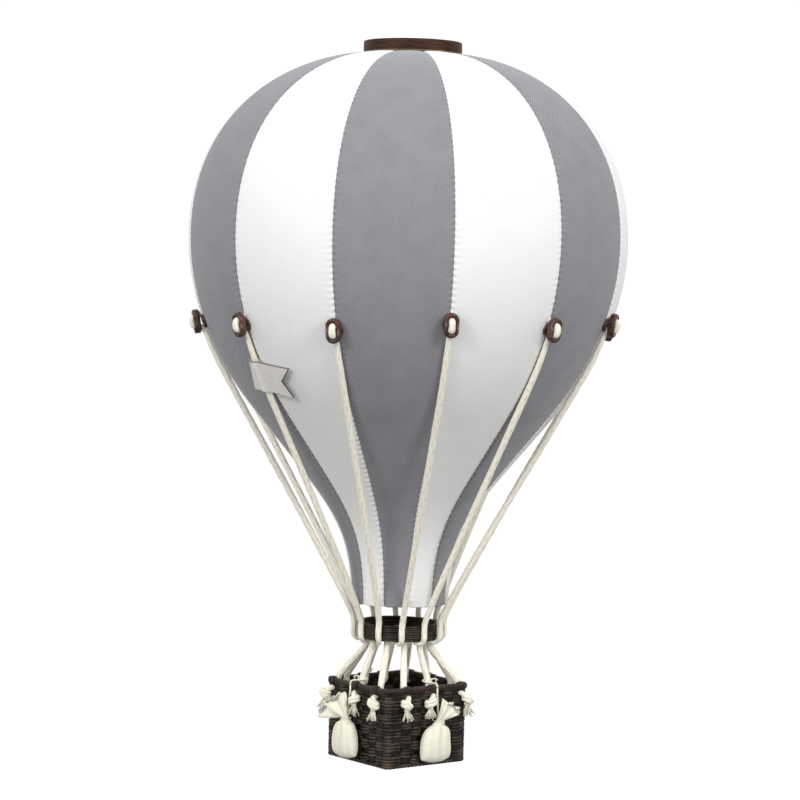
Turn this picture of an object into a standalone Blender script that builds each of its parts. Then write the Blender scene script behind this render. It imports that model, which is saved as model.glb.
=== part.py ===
"""Decorative hot air balloon: a hanging model with a striped fabric envelope and a wicker basket.

Twelve fabric gores cover a thin form of six moulded panels. A wooden crown ring closes the top
round the eye that the model hangs by. Twelve stays run from wooden toggles on the seams, hitch
round a coiled load ring, pass inside the basket rim and end in knots below it. Four small
sandbags hang from the rim on strings, and each swings outwards from the basket wall.

Units are metres, +Z is up, the origin is where the hanging eye bears, and the basket's sides are
parallel to X and Y.
"""

import math

import bmesh
import bpy
from mathutils import Matrix, Vector
from mathutils.geometry import interpolate_bezier

# General fits
GAP = 0.0003
MERGE_DISTANCE = 0.00001

# Envelope outline, the outer face of the fabric, as Bezier knots from the crown to the mouth
# Columns: height, radius, lean below the horizontal in degrees, handle before, handle after
ENVELOPE_KNOTS = (
    (-0.0083, 0.0340, 5.0, 0.0000, 0.0624),
    (-0.1352, 0.1513, 90.0, 0.0778, 0.0445),
    (-0.2525, 0.1060, 128.9, 0.0416, 0.0876),
    (-0.3860, 0.0338, 92.4, 0.0576, 0.0000),
)
ENVELOPE_ROWS = 16
SPAN_STEPS = 24
GORE_COUNT = 12
GORE_FACETS = 3
SEAM_TWIST = math.radians(3.6)
FABRIC_THICKNESS = 0.0010
FORM_THICKNESS = 0.0030
SEAM_GAP = 0.0005
GORE_TOP_RADIUS = 0.0300
FORM_PANELS = 6

# Crown
CROWN_OUTER = 0.0340
CROWN_INNER = 0.0280
CROWN_HEIGHT = 0.0080
CROWN_ROUNDING = 0.0012
CROWN_DISC_THICKNESS = 0.0030
CROWN_FACETS = 36
EYE_RING_RADIUS = 0.0030
EYE_WIRE_RADIUS = 0.0007
EYE_SHANK_RADIUS = 0.0008
EYE_HOLE_RADIUS = EYE_SHANK_RADIUS + GAP
EYE_FACETS = 20
EYE_WIRE_FACETS = 8

# Toggles, one to a seam in the order of the seams, and the stays that they hold
TOGGLE_HEIGHTS = (
    -0.1940, -0.1952, -0.1931, -0.1944, -0.1936, -0.1949,
    -0.1953, -0.1970, -0.1916, -0.1937, -0.1907, -0.1948,
)
TOGGLE_OFF_SKIN = 0.0057
TOGGLE_TILT = math.radians(9.5)
TOGGLE_SIZE = (0.0100, 0.0165)
TOGGLE_SLOT = (0.0050, 0.0106)
TOGGLE_THICKNESS = 0.0047
STAY_RADIUS = 0.0021
STAY_LEAVES_SKIN = -0.2235

# Load ring
RING_OUTER = 0.0290
RING_INNER = 0.0258
RING_TOP = -0.4002
RING_BOTTOM = -0.4111
RING_ROUNDING = 0.0008
RING_FACETS = 36
RING_TWIST = math.radians(-3.7)
HITCH_UP = math.radians(-7.0)
HITCH_DOWN = math.radians(6.0)

# Basket, square in plan, given by half widths
RIM_TOP = -0.4408
RIM_HEIGHT = 0.0045
RIM_OUTER = 0.0360
RIM_INNER = 0.0320
RIM_BEVEL = 0.0010
WALL_OUTER = 0.0345
WALL_INNER = 0.0319
FLOOR_OUTER = 0.0348
FLOOR_THICKNESS = 0.0026
BASKET_BOTTOM = -0.4961
NOTCH_WIDTH = 0.0050
NOTCH_DEPTH = 0.0050

# Stay ends, in the order of the seams round the envelope
# Columns: basket face, place along the face, place of the knot, number of the sandbag tied to
# the stay or 0, place of that bag's string
STAY_ENDS = (
    ("+X", 0.0041, 0.0021, 3, 0.0087),
    ("+X", 0.0290, 0.0290, 0, 0.0),
    ("+Y", 0.0117, 0.0117, 0, 0.0),
    ("+Y", -0.0055, -0.0075, 4, -0.0009),
    ("+Y", -0.0220, -0.0220, 0, 0.0),
    ("-X", 0.0290, 0.0320, 0, 0.0),
    ("-X", 0.0020, -0.0016, 1, 0.0050),
    ("-X", -0.0200, -0.0235, 0, 0.0),
    ("-Y", -0.0175, -0.0210, 0, 0.0),
    ("-Y", 0.0040, -0.0004, 2, 0.0062),
    ("-Y", 0.0290, 0.0320, 0, 0.0),
    ("+X", -0.0220, -0.0220, 0, 0.0),
)
FACE_NORMALS = {
    "+X": Vector((1, 0, 0)),
    "-X": Vector((-1, 0, 0)),
    "+Y": Vector((0, 1, 0)),
    "-Y": Vector((0, -1, 0)),
}
STAY_INSIDE = 0.02955

# Sandbags and the strings that they hang by
STRING_RADIUS = 0.0007
STRING_BEND = 0.0020
PIVOT_OUT = RIM_OUTER + GAP + STRING_RADIUS
PIVOT_HEIGHT = -0.4430
NECK_HEIGHT = -0.4655
NECK_OUT = 0.0398
BAG_FACETS = 12
# Columns: height, distance out from the basket's centre, half width, half thickness
BAG_SECTIONS = (
    (-0.4490, 0.0436, 0.0052, 0.0010),
    (-0.4522, 0.0434, 0.0072, 0.0020),
    (-0.4583, 0.0422, 0.0062, 0.0021),
    (-0.4635, 0.0406, 0.0040, 0.0024),
    (-0.4657, 0.0400, 0.0032, 0.0024),
    (-0.4686, 0.0400, 0.0062, 0.0034),
    (-0.4748, 0.0402, 0.0100, 0.0045),
    (-0.4842, 0.0403, 0.0118, 0.0049),
    (-0.4894, 0.0401, 0.0110, 0.0040),
    (-0.4917, 0.0398, 0.0085, 0.0016),
)

# Pennant tag on one stay
TAG_STAY = 6
TAG_HEIGHT = -0.2276
TAG_LENGTH = 0.0327
TAG_WIDTH = 0.0220
TAG_NOTCH = 0.0077
TAG_THICKNESS = 0.0005
TAG_LEFT = 0.0055
TAG_TURN = math.radians(12.0)
TAG_SAG = math.radians(13.0)

# Colours
GREY_FABRIC = (0.165, 0.165, 0.180, 1.0)
WHITE_FABRIC = (0.860, 0.860, 0.850, 1.0)
CARD = (0.500, 0.480, 0.420, 1.0)
DARK_WOOD = (0.060, 0.030, 0.020, 1.0)
RED_WOOD = (0.110, 0.040, 0.020, 1.0)
COTTON = (0.780, 0.740, 0.600, 1.0)
MUSLIN = (0.740, 0.710, 0.600, 1.0)
WICKER = (0.030, 0.022, 0.018, 1.0)
BRASS = (0.600, 0.420, 0.180, 1.0)
TAG_CARD = (0.700, 0.690, 0.650, 1.0)


def make_collection(name):
    """Return a new collection linked to the scene."""
    collection = bpy.data.collections.new(name)
    bpy.context.scene.collection.children.link(collection)
    return collection


def make_material(name, colour, roughness, metallic=0.0):
    """Return a Principled material."""
    material = bpy.data.materials.new(name)
    material.use_nodes = True
    shader = material.node_tree.nodes["Principled BSDF"]
    shader.inputs["Base Color"].default_value = colour
    shader.inputs["Roughness"].default_value = roughness
    shader.inputs["Metallic"].default_value = metallic
    material.diffuse_color = colour
    return material


def add_object(name, data, collection, material=None):
    """Add an object for a mesh or a curve to a collection."""
    item = bpy.data.objects.new(name, data)
    if material:
        data.materials.append(material)
    collection.objects.link(item)
    return item


def adopt(name, collection):
    """Name the object that was just added and move it to a collection."""
    item = bpy.context.object
    item.name = name
    for owner in item.users_collection:
        owner.objects.unlink(item)
    collection.objects.link(item)
    return item


def hide(cutter):
    """Mark an object that only cuts or joins others."""
    cutter.hide_render = True
    cutter.display_type = "WIRE"


def combine(item, other, operation):
    """Put a Boolean modifier on the item."""
    modifier = item.modifiers.new(operation.lower(), "BOOLEAN")
    modifier.operation = operation
    modifier.solver = "EXACT"
    modifier.object = other
    hide(other)


def cut(item, cutter):
    """Subtract the cutter from the item."""
    combine(item, cutter, "DIFFERENCE")


def join(item, other):
    """Join the other object to the item."""
    combine(item, other, "UNION")


def round_off(item, width):
    """Bevel the sharp edges of the item with one flat step."""
    modifier = item.modifiers.new("rounding", "BEVEL")
    modifier.width = width
    modifier.segments = 1
    modifier.limit_method = "ANGLE"


def polar(radius, azimuth, height):
    """Return a point given by its distance from the axis, its direction and its height."""
    return Vector((radius * math.cos(azimuth), radius * math.sin(azimuth), height))


def face_point(face, out, along, height):
    """Return a point beside a basket face: out from the centre and along the face."""
    normal = FACE_NORMALS[face]
    run = Vector((abs(normal.y), abs(normal.x), 0))
    return normal * out + run * along + Vector((0, 0, height))


def envelope_outline():
    """Return closely spaced points (radius, height) down the outer face of the fabric."""
    points = []
    for upper, lower in zip(ENVELOPE_KNOTS, ENVELOPE_KNOTS[1:]):
        ends = []
        for height, radius, lean, before, after in (upper, lower):
            angle = math.radians(lean)
            direction = Vector((math.cos(angle), -math.sin(angle)))
            ends.append((Vector((radius, height)), direction, before, after))
        (start, start_way, _, start_handle), (end, end_way, end_handle, _) = ends
        first = start + start_way * start_handle
        second = end - end_way * end_handle
        span = interpolate_bezier(start, first, second, end, SPAN_STEPS + 1)
        points.extend(span if not points else span[1:])
    return points


OUTLINE = envelope_outline()


def outline_rows(rows):
    """Return evenly spaced points down the outline, each with its outward direction."""
    lengths = [0.0]
    for a, b in zip(OUTLINE, OUTLINE[1:]):
        lengths.append(lengths[-1] + (b - a).length)
    result = []
    for row in range(rows + 1):
        target = lengths[-1] * row / rows
        index = 0
        while index < len(OUTLINE) - 2 and lengths[index + 1] < target:
            index += 1
        share = (target - lengths[index]) / (lengths[index + 1] - lengths[index])
        point = OUTLINE[index].lerp(OUTLINE[index + 1], share)
        way = (OUTLINE[index + 1] - OUTLINE[index]).normalized()
        result.append((point, Vector((-way.y, way.x))))
    return result


def skin_radius(height):
    """Return the fabric's outer radius at a height below the belly."""
    for a, b in zip(OUTLINE, OUTLINE[1:]):
        if b.y <= height <= a.y:
            return a.x + (b.x - a.x) * (a.y - height) / (a.y - b.y)
    return OUTLINE[-1].x


def beside_skin(height, radius):
    """Return the axis distance of a cord of this radius that lies on the fabric."""
    step = 0.002
    slope = (skin_radius(height + step) - skin_radius(height - step)) / (2 * step)
    return skin_radius(height) + (radius + GAP) * math.hypot(1.0, slope)


def seam_azimuth(index):
    """Return the direction of a seam."""
    return SEAM_TWIST + index * math.tau / GORE_COUNT


def turned(name, profile, facets, collection, material, closed=True):
    """Turn a profile of (radius, height) points, given down its outer side, about the Z axis."""
    mesh = bpy.data.meshes.new(name)
    edges = [(i, i + 1) for i in range(len(profile) - 1)]
    if closed:
        edges.append((len(profile) - 1, 0))
    mesh.from_pydata([(radius, 0.0, height) for radius, height in profile], edges, [])
    item = add_object(name, mesh, collection, material)
    screw = item.modifiers.new("turn", "SCREW")
    screw.axis = "Z"
    screw.steps = facets
    screw.render_steps = facets
    screw.use_merge_vertices = True
    screw.merge_threshold = MERGE_DISTANCE
    screw.use_smooth_shade = True
    return item


def tube(name, points, radius, collection, material, resolution=1):
    """Make a filled tube through points, each a place and a factor on the radius."""
    curve = bpy.data.curves.new(name, "CURVE")
    curve.dimensions = "3D"
    curve.bevel_depth = radius
    curve.bevel_resolution = resolution
    curve.use_fill_caps = True
    spline = curve.splines.new("POLY")
    spline.points.add(len(points) - 1)
    for point, (place, factor) in zip(spline.points, points):
        point.co = (*place, 1.0)
        point.radius = factor
    return add_object(name, curve, collection, material)


def as_mesh(item, collection, material):
    """Replace a curve object by a mesh object with welded caps."""
    graph = bpy.context.evaluated_depsgraph_get()
    mesh = bpy.data.meshes.new_from_object(item.evaluated_get(graph))
    name = item.name
    matrix = item.matrix_world.copy()
    bpy.data.objects.remove(item)
    build = bmesh.new()
    build.from_mesh(mesh)
    bmesh.ops.remove_doubles(build, verts=build.verts, dist=MERGE_DISTANCE)
    build.to_mesh(mesh)
    build.free()
    mesh.materials.clear()
    result = add_object(name, mesh, collection, material)
    result.matrix_world = matrix
    return result


def box(name, low, high, collection, material=None):
    """Make a box between two corners."""
    mesh = bpy.data.meshes.new(name)
    build = bmesh.new()
    bmesh.ops.create_cube(build, size=1.0)
    size = Vector(high) - Vector(low)
    centre = (Vector(high) + Vector(low)) / 2
    bmesh.ops.scale(build, vec=size, verts=build.verts)
    bmesh.ops.translate(build, vec=centre, verts=build.verts)
    build.to_mesh(mesh)
    build.free()
    return add_object(name, mesh, collection, material)


def build_form(collection, cutters, material):
    """Make the thin form under the fabric: moulded panels that meet below every second seam."""
    inset = FABRIC_THICKNESS + GAP
    rows = outline_rows(ENVELOPE_ROWS)
    crown = rows[0][0].y - inset
    profile = [(0.0, crown), (GORE_TOP_RADIUS, crown)]
    for point, outward in rows:
        place = point - outward * inset
        profile.append((place.x, place.y))
    for index in range(FORM_PANELS):
        name = f"envelope_form_{index + 1}"
        panel = turned(name, profile, GORE_COUNT * GORE_FACETS, collection, material, False)
        panel.rotation_euler.z = SEAM_TWIST
        shell = panel.modifiers.new("shell", "SOLIDIFY")
        shell.thickness = FORM_THICKNESS
        shell.offset = -1.0
        shell.use_even_offset = True
        combine(panel, panel_wedge(f"{name}_wedge", index, cutters), "INTERSECT")


def panel_wedge(name, index, cutters):
    """Make a three-sided prism whose edge on the axis takes in one form panel, less the gap."""
    radius = 0.25
    height = 0.45
    middle = SEAM_TWIST + (index + 0.5) * math.tau / FORM_PANELS
    centre = radius + GAP / 2 / math.sin(math.pi / FORM_PANELS)
    bpy.ops.mesh.primitive_cylinder_add(
        vertices=3, radius=radius, depth=height,
        location=polar(centre, middle, ENVELOPE_KNOTS[-1][0] / 2),
        rotation=(0.0, 0.0, middle + math.pi / 2),
    )
    return adopt(name, cutters)


def gore_vertex(row, rows, column, azimuth):
    """Return a point of a gore's outer face; its two long edges stop short of the seams."""
    point = rows[row][0]
    step = math.tau / GORE_COUNT / GORE_FACETS
    place = polar(point.x, azimuth + column * step, point.y)
    if column in (0, GORE_FACETS):
        inner = 1 if column == 0 else GORE_FACETS - 1
        neighbour = polar(point.x, azimuth + inner * step, point.y)
        place += (neighbour - place).normalized() * SEAM_GAP / 2
    return place


def build_gores(collection, grey, white):
    """Wrap a grid over each twelfth of the envelope and thicken it inwards."""
    rows = [(Vector((GORE_TOP_RADIUS, ENVELOPE_KNOTS[0][0])), None)] + outline_rows(ENVELOPE_ROWS)
    count = len(rows)
    for index in range(GORE_COUNT):
        name = f"gore_{index + 1:02d}"
        azimuth = seam_azimuth(index)
        mesh = bpy.data.meshes.new(name)
        build = bmesh.new()
        grid = bmesh.ops.create_grid(build, x_segments=GORE_FACETS, y_segments=count - 1, size=0.5)
        for vertex in grid["verts"]:
            column = round((vertex.co.x + 0.5) * GORE_FACETS)
            row = round((0.5 - vertex.co.y) * (count - 1))
            vertex.co = gore_vertex(row, rows, column, azimuth)
        build.to_mesh(mesh)
        build.free()
        gore = add_object(name, mesh, collection, grey if index % 2 else white)
        mesh.shade_smooth()
        cloth = gore.modifiers.new("cloth", "SOLIDIFY")
        cloth.thickness = FABRIC_THICKNESS
        cloth.offset = -1.0
        cloth.use_even_offset = True


def build_crown(collection, cutters, wood, brass):
    """Make the wooden ring on the crown, the disc that fills it and the eye to hang it by."""
    cut_back = CROWN_ROUNDING
    bottom = -CROWN_HEIGHT
    profile = (
        (CROWN_INNER, -cut_back / 2),
        (CROWN_INNER + cut_back / 2, 0.0),
        (CROWN_OUTER - cut_back, 0.0),
        (CROWN_OUTER, -cut_back),
        (CROWN_OUTER, bottom),
        (CROWN_INNER, bottom),
    )
    turned("crown_ring", profile, CROWN_FACETS, collection, wood)
    seat = ENVELOPE_KNOTS[0][0] - FABRIC_THICKNESS
    top = seat + CROWN_DISC_THICKNESS
    edge = CROWN_INNER - GAP
    profile = ((EYE_HOLE_RADIUS, top), (edge, top), (edge, seat), (EYE_HOLE_RADIUS, seat))
    turned("crown_disc", profile, CROWN_FACETS, collection, wood)
    build_eye(collection, cutters, brass, seat)


def build_eye(collection, cutters, brass, seat):
    """Make the screw eye: a ring whose inner top is the origin, on a shank through the disc."""
    centre = EYE_WIRE_RADIUS - EYE_RING_RADIUS
    bpy.ops.mesh.primitive_torus_add(
        major_segments=EYE_FACETS, minor_segments=EYE_WIRE_FACETS,
        major_radius=EYE_RING_RADIUS, minor_radius=EYE_WIRE_RADIUS,
        location=(0.0, 0.0, centre), rotation=(math.pi / 2, 0.0, 0.0),
    )
    eye = adopt("hanging_eye", collection)
    eye.data.materials.append(brass)
    shank_length = centre - EYE_RING_RADIUS - seat
    bpy.ops.mesh.primitive_cylinder_add(
        vertices=EYE_FACETS, radius=EYE_SHANK_RADIUS, depth=shank_length,
        location=(0.0, 0.0, seat + shank_length / 2),
    )
    join(eye, adopt("eye_shank", cutters))


def stadium(width, height, arc_steps):
    """Return the points of an upright slot shape with round ends."""
    radius = width / 2
    straight = height / 2 - radius
    points = []
    for centre, start in ((straight, 0.0), (-straight, math.pi)):
        for step in range(arc_steps + 1):
            angle = start + math.pi * step / arc_steps
            points.append((radius * math.cos(angle), centre + radius * math.sin(angle)))
    return points


def build_toggles(collection, wood):
    """Set an oval wooden toggle with a slot over each seam, leaning with the envelope."""
    curve = bpy.data.curves.new("toggle", "CURVE")
    curve.dimensions = "2D"
    curve.fill_mode = "BOTH"
    curve.extrude = TOGGLE_THICKNESS / 2
    for width, height in (TOGGLE_SIZE, TOGGLE_SLOT):
        outline = stadium(width, height, 6)
        spline = curve.splines.new("POLY")
        spline.points.add(len(outline) - 1)
        for point, (x, y) in zip(spline.points, outline):
            point.co = (x, y, 0.0, 1.0)
        spline.use_cyclic_u = True
    curve.materials.append(wood)
    for index in range(GORE_COUNT):
        toggle = add_object(f"toggle_{index + 1:02d}", curve, collection)
        azimuth = seam_azimuth(index)
        height = TOGGLE_HEIGHTS[index]
        toggle.location = polar(skin_radius(height) + TOGGLE_OFF_SKIN, azimuth, height)
        toggle.rotation_euler = (math.pi / 2 + TOGGLE_TILT, 0.0, azimuth + math.pi / 2)


def toggle_route(index):
    """Return the stay's points from the fabric through the slot, round and back, then down."""
    azimuth = seam_azimuth(index)
    middle = TOGGLE_HEIGHTS[index]
    centre = skin_radius(middle) + TOGGLE_OFF_SKIN
    outward = (math.cos(TOGGLE_TILT), -math.sin(TOGGLE_TILT))
    upward = (math.sin(TOGGLE_TILT), math.cos(TOGGLE_TILT))
    thin = 0.78
    # Columns: distance out from the toggle's centre, distance up its face, radius factor
    table = (
        (-0.0050, 0.0027, thin),
        (0.0010, 0.0027, thin),
        (0.0026, 0.0019, thin),
        (0.0032, 0.0000, thin),
        (0.0026, -0.0019, thin),
        (0.0010, -0.0027, thin),
        (-0.0020, -0.0030, thin),
        (-0.0038, -0.0044, 0.70),
    )
    points = []
    for out, up, factor in table:
        radius = centre + out * outward[0] + up * upward[0]
        height = middle + out * outward[1] + up * upward[1]
        points.append((polar(radius, azimuth, height), factor))
    for drop, factor in ((0.0075, 0.72), (0.0130, 0.80), (0.0210, 0.95)):
        radius = beside_skin(middle - drop, STAY_RADIUS * factor)
        points.append((polar(radius, azimuth, middle - drop), factor))
    points.append((polar(beside_skin(STAY_LEAVES_SKIN, STAY_RADIUS), azimuth, STAY_LEAVES_SKIN), 1.0))
    return points


def hitch_route(azimuth):
    """Return the stay's points down over the load ring, under it, up inside and down again."""
    outside = RING_OUTER + GAP + STAY_RADIUS
    inside = RING_INNER - GAP * 2 - STAY_RADIUS
    under = RING_BOTTOM - GAP - STAY_RADIUS
    up = azimuth + HITCH_UP
    down = azimuth + HITCH_DOWN
    middle = (up + down) / 2
    # Columns: radius, direction, height
    table = (
        (outside, azimuth, RING_TOP + 0.0005),
        (outside, azimuth, RING_BOTTOM + 0.0003),
        (outside - 0.0008, azimuth, under + 0.0008),
        (outside - 0.0028, azimuth + HITCH_UP * 0.2, under),
        (inside + 0.0028, azimuth + HITCH_UP * 0.7, under),
        (inside + 0.0008, up, under + 0.0008),
        (inside, up, RING_BOTTOM + 0.0003),
        (inside, up, RING_TOP - 0.0048),
        (inside, up * 0.75 + down * 0.25, RING_TOP - 0.0028),
        (inside, middle, RING_TOP - 0.0022),
        (inside, up * 0.25 + down * 0.75, RING_TOP - 0.0028),
        (inside, down, RING_TOP - 0.0048),
        (inside, down, RING_BOTTOM - 0.0054),
    )
    return [(polar(*row), 1.0) for row in table]


def rim_entry(index):
    """Return where a stay reaches the inside of the basket rim."""
    face, along, _, _, _ = STAY_ENDS[index]
    return face_point(face, STAY_INSIDE, along, RIM_TOP)


def knot_route(index):
    """Return the stay's points inside the rim, out through the wall's notch and into its knot."""
    face, along, knot, _, _ = STAY_ENDS[index]
    below = RIM_TOP - RIM_HEIGHT
    # Columns: distance out, height, share of the sideways shift, radius factor
    table = (
        (STAY_INSIDE, below + 0.0003, 0.0, 1.00),
        (STAY_INSIDE + 0.0010, below - 0.0016, 0.0, 0.90),
        (STAY_INSIDE + 0.0028, below - 0.0025, 0.0, 0.88),
        (WALL_OUTER + 0.0010, below - 0.0027, 0.0, 0.88),
        (WALL_OUTER + 0.0024, below - 0.0034, 0.3, 0.90),
        (WALL_OUTER + 0.0034, below - 0.0050, 1.0, 1.42),
        (WALL_OUTER + 0.0038, below - 0.0066, 1.0, 1.42),
        (WALL_OUTER + 0.0040, below - 0.0084, 1.0, 0.80),
        (WALL_OUTER + 0.0040, below - 0.0120, 1.0, 1.05),
    )
    points = []
    for out, height, share, factor in table:
        points.append((face_point(face, out, along + (knot - along) * share, height), factor))
    return points


def build_stays(collection, cotton):
    """Make the twelve stays, each one cord from its toggle to its knot."""
    for index in range(GORE_COUNT):
        ring_azimuth = RING_TWIST + index * math.tau / GORE_COUNT
        points = toggle_route(index) + hitch_route(ring_azimuth)
        points.append((rim_entry(index), 1.0))
        points.extend(knot_route(index))
        tube(f"stay_{index + 1:02d}", points, STAY_RADIUS, collection, cotton)


def build_load_ring(collection, wicker):
    """Make the round load ring that the stays hitch to."""
    cut_back = RING_ROUNDING
    profile = (
        (RING_INNER + cut_back, RING_TOP),
        (RING_OUTER - cut_back, RING_TOP),
        (RING_OUTER, RING_TOP - cut_back),
        (RING_OUTER, RING_BOTTOM + cut_back),
        (RING_OUTER - cut_back, RING_BOTTOM),
        (RING_INNER + cut_back, RING_BOTTOM),
        (RING_INNER, RING_BOTTOM + cut_back),
        (RING_INNER, RING_TOP - cut_back),
    )
    turned("load_ring", profile, RING_FACETS, collection, wicker)


def square_tube(name, outer, inner, bottom, top, collection, cutters, material):
    """Make an upright square tube from its half widths."""
    item = box(name, (-outer, -outer, bottom), (outer, outer, top), collection, material)
    spare = 0.01
    hollow = box(
        f"{name}_hollow", (-inner, -inner, bottom - spare), (inner, inner, top + spare), cutters)
    cut(item, hollow)
    return item


def build_basket(collection, cutters, wicker):
    """Make the rim band, the wall notched for the stays, and the floor."""
    rim_bottom = RIM_TOP - RIM_HEIGHT
    rim = square_tube(
        "basket_rim", RIM_OUTER, RIM_INNER, rim_bottom, RIM_TOP, collection, cutters, wicker)
    round_off(rim, RIM_BEVEL)
    floor_top = BASKET_BOTTOM + FLOOR_THICKNESS
    wall_top = rim_bottom - GAP
    wall = square_tube(
        "basket_wall", WALL_OUTER, WALL_INNER, floor_top + GAP, wall_top,
        collection, cutters, wicker)
    inside, outside = WALL_INNER - 0.0015, WALL_OUTER + 0.0015
    for index, (face, along, _, _, _) in enumerate(STAY_ENDS):
        ends = []
        for out, side, height in ((inside, -1, -NOTCH_DEPTH), (outside, 1, 0.0020)):
            ends.append(face_point(face, out, along + side * NOTCH_WIDTH / 2, wall_top + height))
        low = [min(pair) for pair in zip(*ends)]
        high = [max(pair) for pair in zip(*ends)]
        notch = box(f"notch_{index + 1:02d}", low, high, cutters)
        cut(wall, notch)
    box(
        "basket_floor", (-FLOOR_OUTER, -FLOOR_OUTER, BASKET_BOTTOM),
        (FLOOR_OUTER, FLOOR_OUTER, floor_top), collection, wicker)


def bag_face(number):
    """Return the basket face, the place of the string and the stay's index for a sandbag."""
    for index, (face, _, _, bag, string) in enumerate(STAY_ENDS):
        if bag == number:
            return face, string, index
    raise ValueError(number)


def build_bag(number, collection, cutters, muslin):
    """Make a sandbag: a sewn pouch, gathered at its neck, on a string from the rim's edge."""
    face, middle, _ = bag_face(number)
    mesh = bpy.data.meshes.new(f"bag_{number}")
    build = bmesh.new()
    rings = []
    for height, out, half_width, half_depth in BAG_SECTIONS:
        ring = []
        for step in range(BAG_FACETS):
            angle = math.tau * step / BAG_FACETS
            side = half_width * math.cos(angle)
            depth = half_depth * math.sin(angle)
            ring.append(build.verts.new(face_point(face, out + depth, middle + side, height)))
        rings.append(ring)
    for upper, lower in zip(rings, rings[1:]):
        for step in range(BAG_FACETS):
            beside = (step + 1) % BAG_FACETS
            build.faces.new((upper[step], upper[beside], lower[beside], lower[step]))
    build.faces.new(rings[0])
    build.faces.new(rings[-1])
    bmesh.ops.recalc_face_normals(build, faces=build.faces)
    pivot = face_point(face, PIVOT_OUT, middle, PIVOT_HEIGHT)
    bmesh.ops.translate(build, vec=-pivot, verts=build.verts)
    build.to_mesh(mesh)
    build.free()
    bag = add_object(f"bag_{number}", mesh, collection, muslin)
    bag.location = pivot
    mesh.shade_smooth()
    tip = STRING_RADIUS
    # Columns: distance out, height, radius factor; the round tip turns in place as the bag swings
    table = (
        (PIVOT_OUT, PIVOT_HEIGHT + tip * 0.95, 0.31),
        (PIVOT_OUT, PIVOT_HEIGHT + tip * 0.60, 0.80),
        (PIVOT_OUT, PIVOT_HEIGHT, 1.00),
        (PIVOT_OUT + 0.0002, PIVOT_HEIGHT - 0.0060, 1.00),
        (NECK_OUT, NECK_HEIGHT - 0.0006, 1.00),
    )
    points = [(face_point(face, out, middle, height), factor) for out, height, factor in table]
    string = tube(f"bag_string_{number}", points, STRING_RADIUS, cutters, None)
    string = as_mesh(string, cutters, None)
    join(bag, string)


def build_tie(number, collection, muslin):
    """Make the end of a bag's string: once round the stay, over the rim and down its edge."""
    face, middle, index = bag_face(number)
    ring_azimuth = RING_TWIST + index * math.tau / GORE_COUNT
    upper = hitch_route(ring_azimuth)[-1][0]
    lower = rim_entry(index)
    loop_radius = STAY_RADIUS + GAP + STRING_RADIUS + 0.0004
    loop_top = RIM_TOP + 0.0036
    loop_bottom = RIM_TOP + 0.0014
    steps = 12
    points = []
    for step in range(steps + 1):
        share = step / steps
        height = loop_top + (loop_bottom - loop_top) * share
        stay = upper.lerp(lower, (upper.z - height) / (upper.z - lower.z))
        angle = math.radians(50 + 330 * share)
        out = loop_radius * math.cos(angle)
        side = loop_radius * math.sin(angle)
        place = stay + face_point(face, out, side, 0.0)
        place.z = height
        points.append((place, 1.0))
    over = RIM_TOP + GAP + STRING_RADIUS
    for step in range(5):
        angle = math.radians(90 - 22.5 * step)
        out = PIVOT_OUT - STRING_BEND * (1.0 - math.cos(angle))
        height = over - STRING_BEND * (1.0 - math.sin(angle))
        points.append((face_point(face, out, middle, height), 1.0))
    end = PIVOT_HEIGHT + STRING_RADIUS + GAP
    points.append((face_point(face, PIVOT_OUT, middle, end), 1.0))
    tube(f"bag_tie_{number}", points, STRING_RADIUS, collection, muslin)


def build_tag(collection, card):
    """Make the swallow-tailed pennant that lies across the outside of one stay."""
    curve = bpy.data.curves.new("tag_flag", "CURVE")
    curve.dimensions = "2D"
    curve.fill_mode = "BOTH"
    curve.extrude = TAG_THICKNESS / 2
    half = TAG_WIDTH / 2
    tip = TAG_LENGTH - TAG_LEFT
    outline = ((-TAG_LEFT, -half), (tip, -half), (tip - TAG_NOTCH, 0.0), (tip, half), (-TAG_LEFT, half))
    spline = curve.splines.new("POLY")
    spline.points.add(len(outline) - 1)
    for point, (x, y) in zip(spline.points, outline):
        point.co = (x, y, 0.0, 1.0)
    spline.use_cyclic_u = True
    tag = add_object("tag_flag", curve, collection, card)
    azimuth = seam_azimuth(TAG_STAY)
    start = polar(beside_skin(STAY_LEAVES_SKIN, STAY_RADIUS), azimuth, STAY_LEAVES_SKIN)
    ring_azimuth = RING_TWIST + TAG_STAY * math.tau / GORE_COUNT
    end = hitch_route(ring_azimuth)[0][0]
    cord = start.lerp(end, (start.z - TAG_HEIGHT) / (start.z - end.z))
    up = (start - end).normalized()
    across = polar(1.0, azimuth + math.pi / 2 + TAG_TURN, 0.0)
    across = (across - up * across.dot(up)).normalized()
    outward = across.cross(up)
    cord += outward * (STAY_RADIUS + GAP + TAG_THICKNESS / 2)
    turn = Matrix((across, up, outward)).transposed().to_4x4()
    tag.matrix_world = Matrix.Translation(cord) @ turn @ Matrix.Rotation(-TAG_SAG, 4, "Z")


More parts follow.
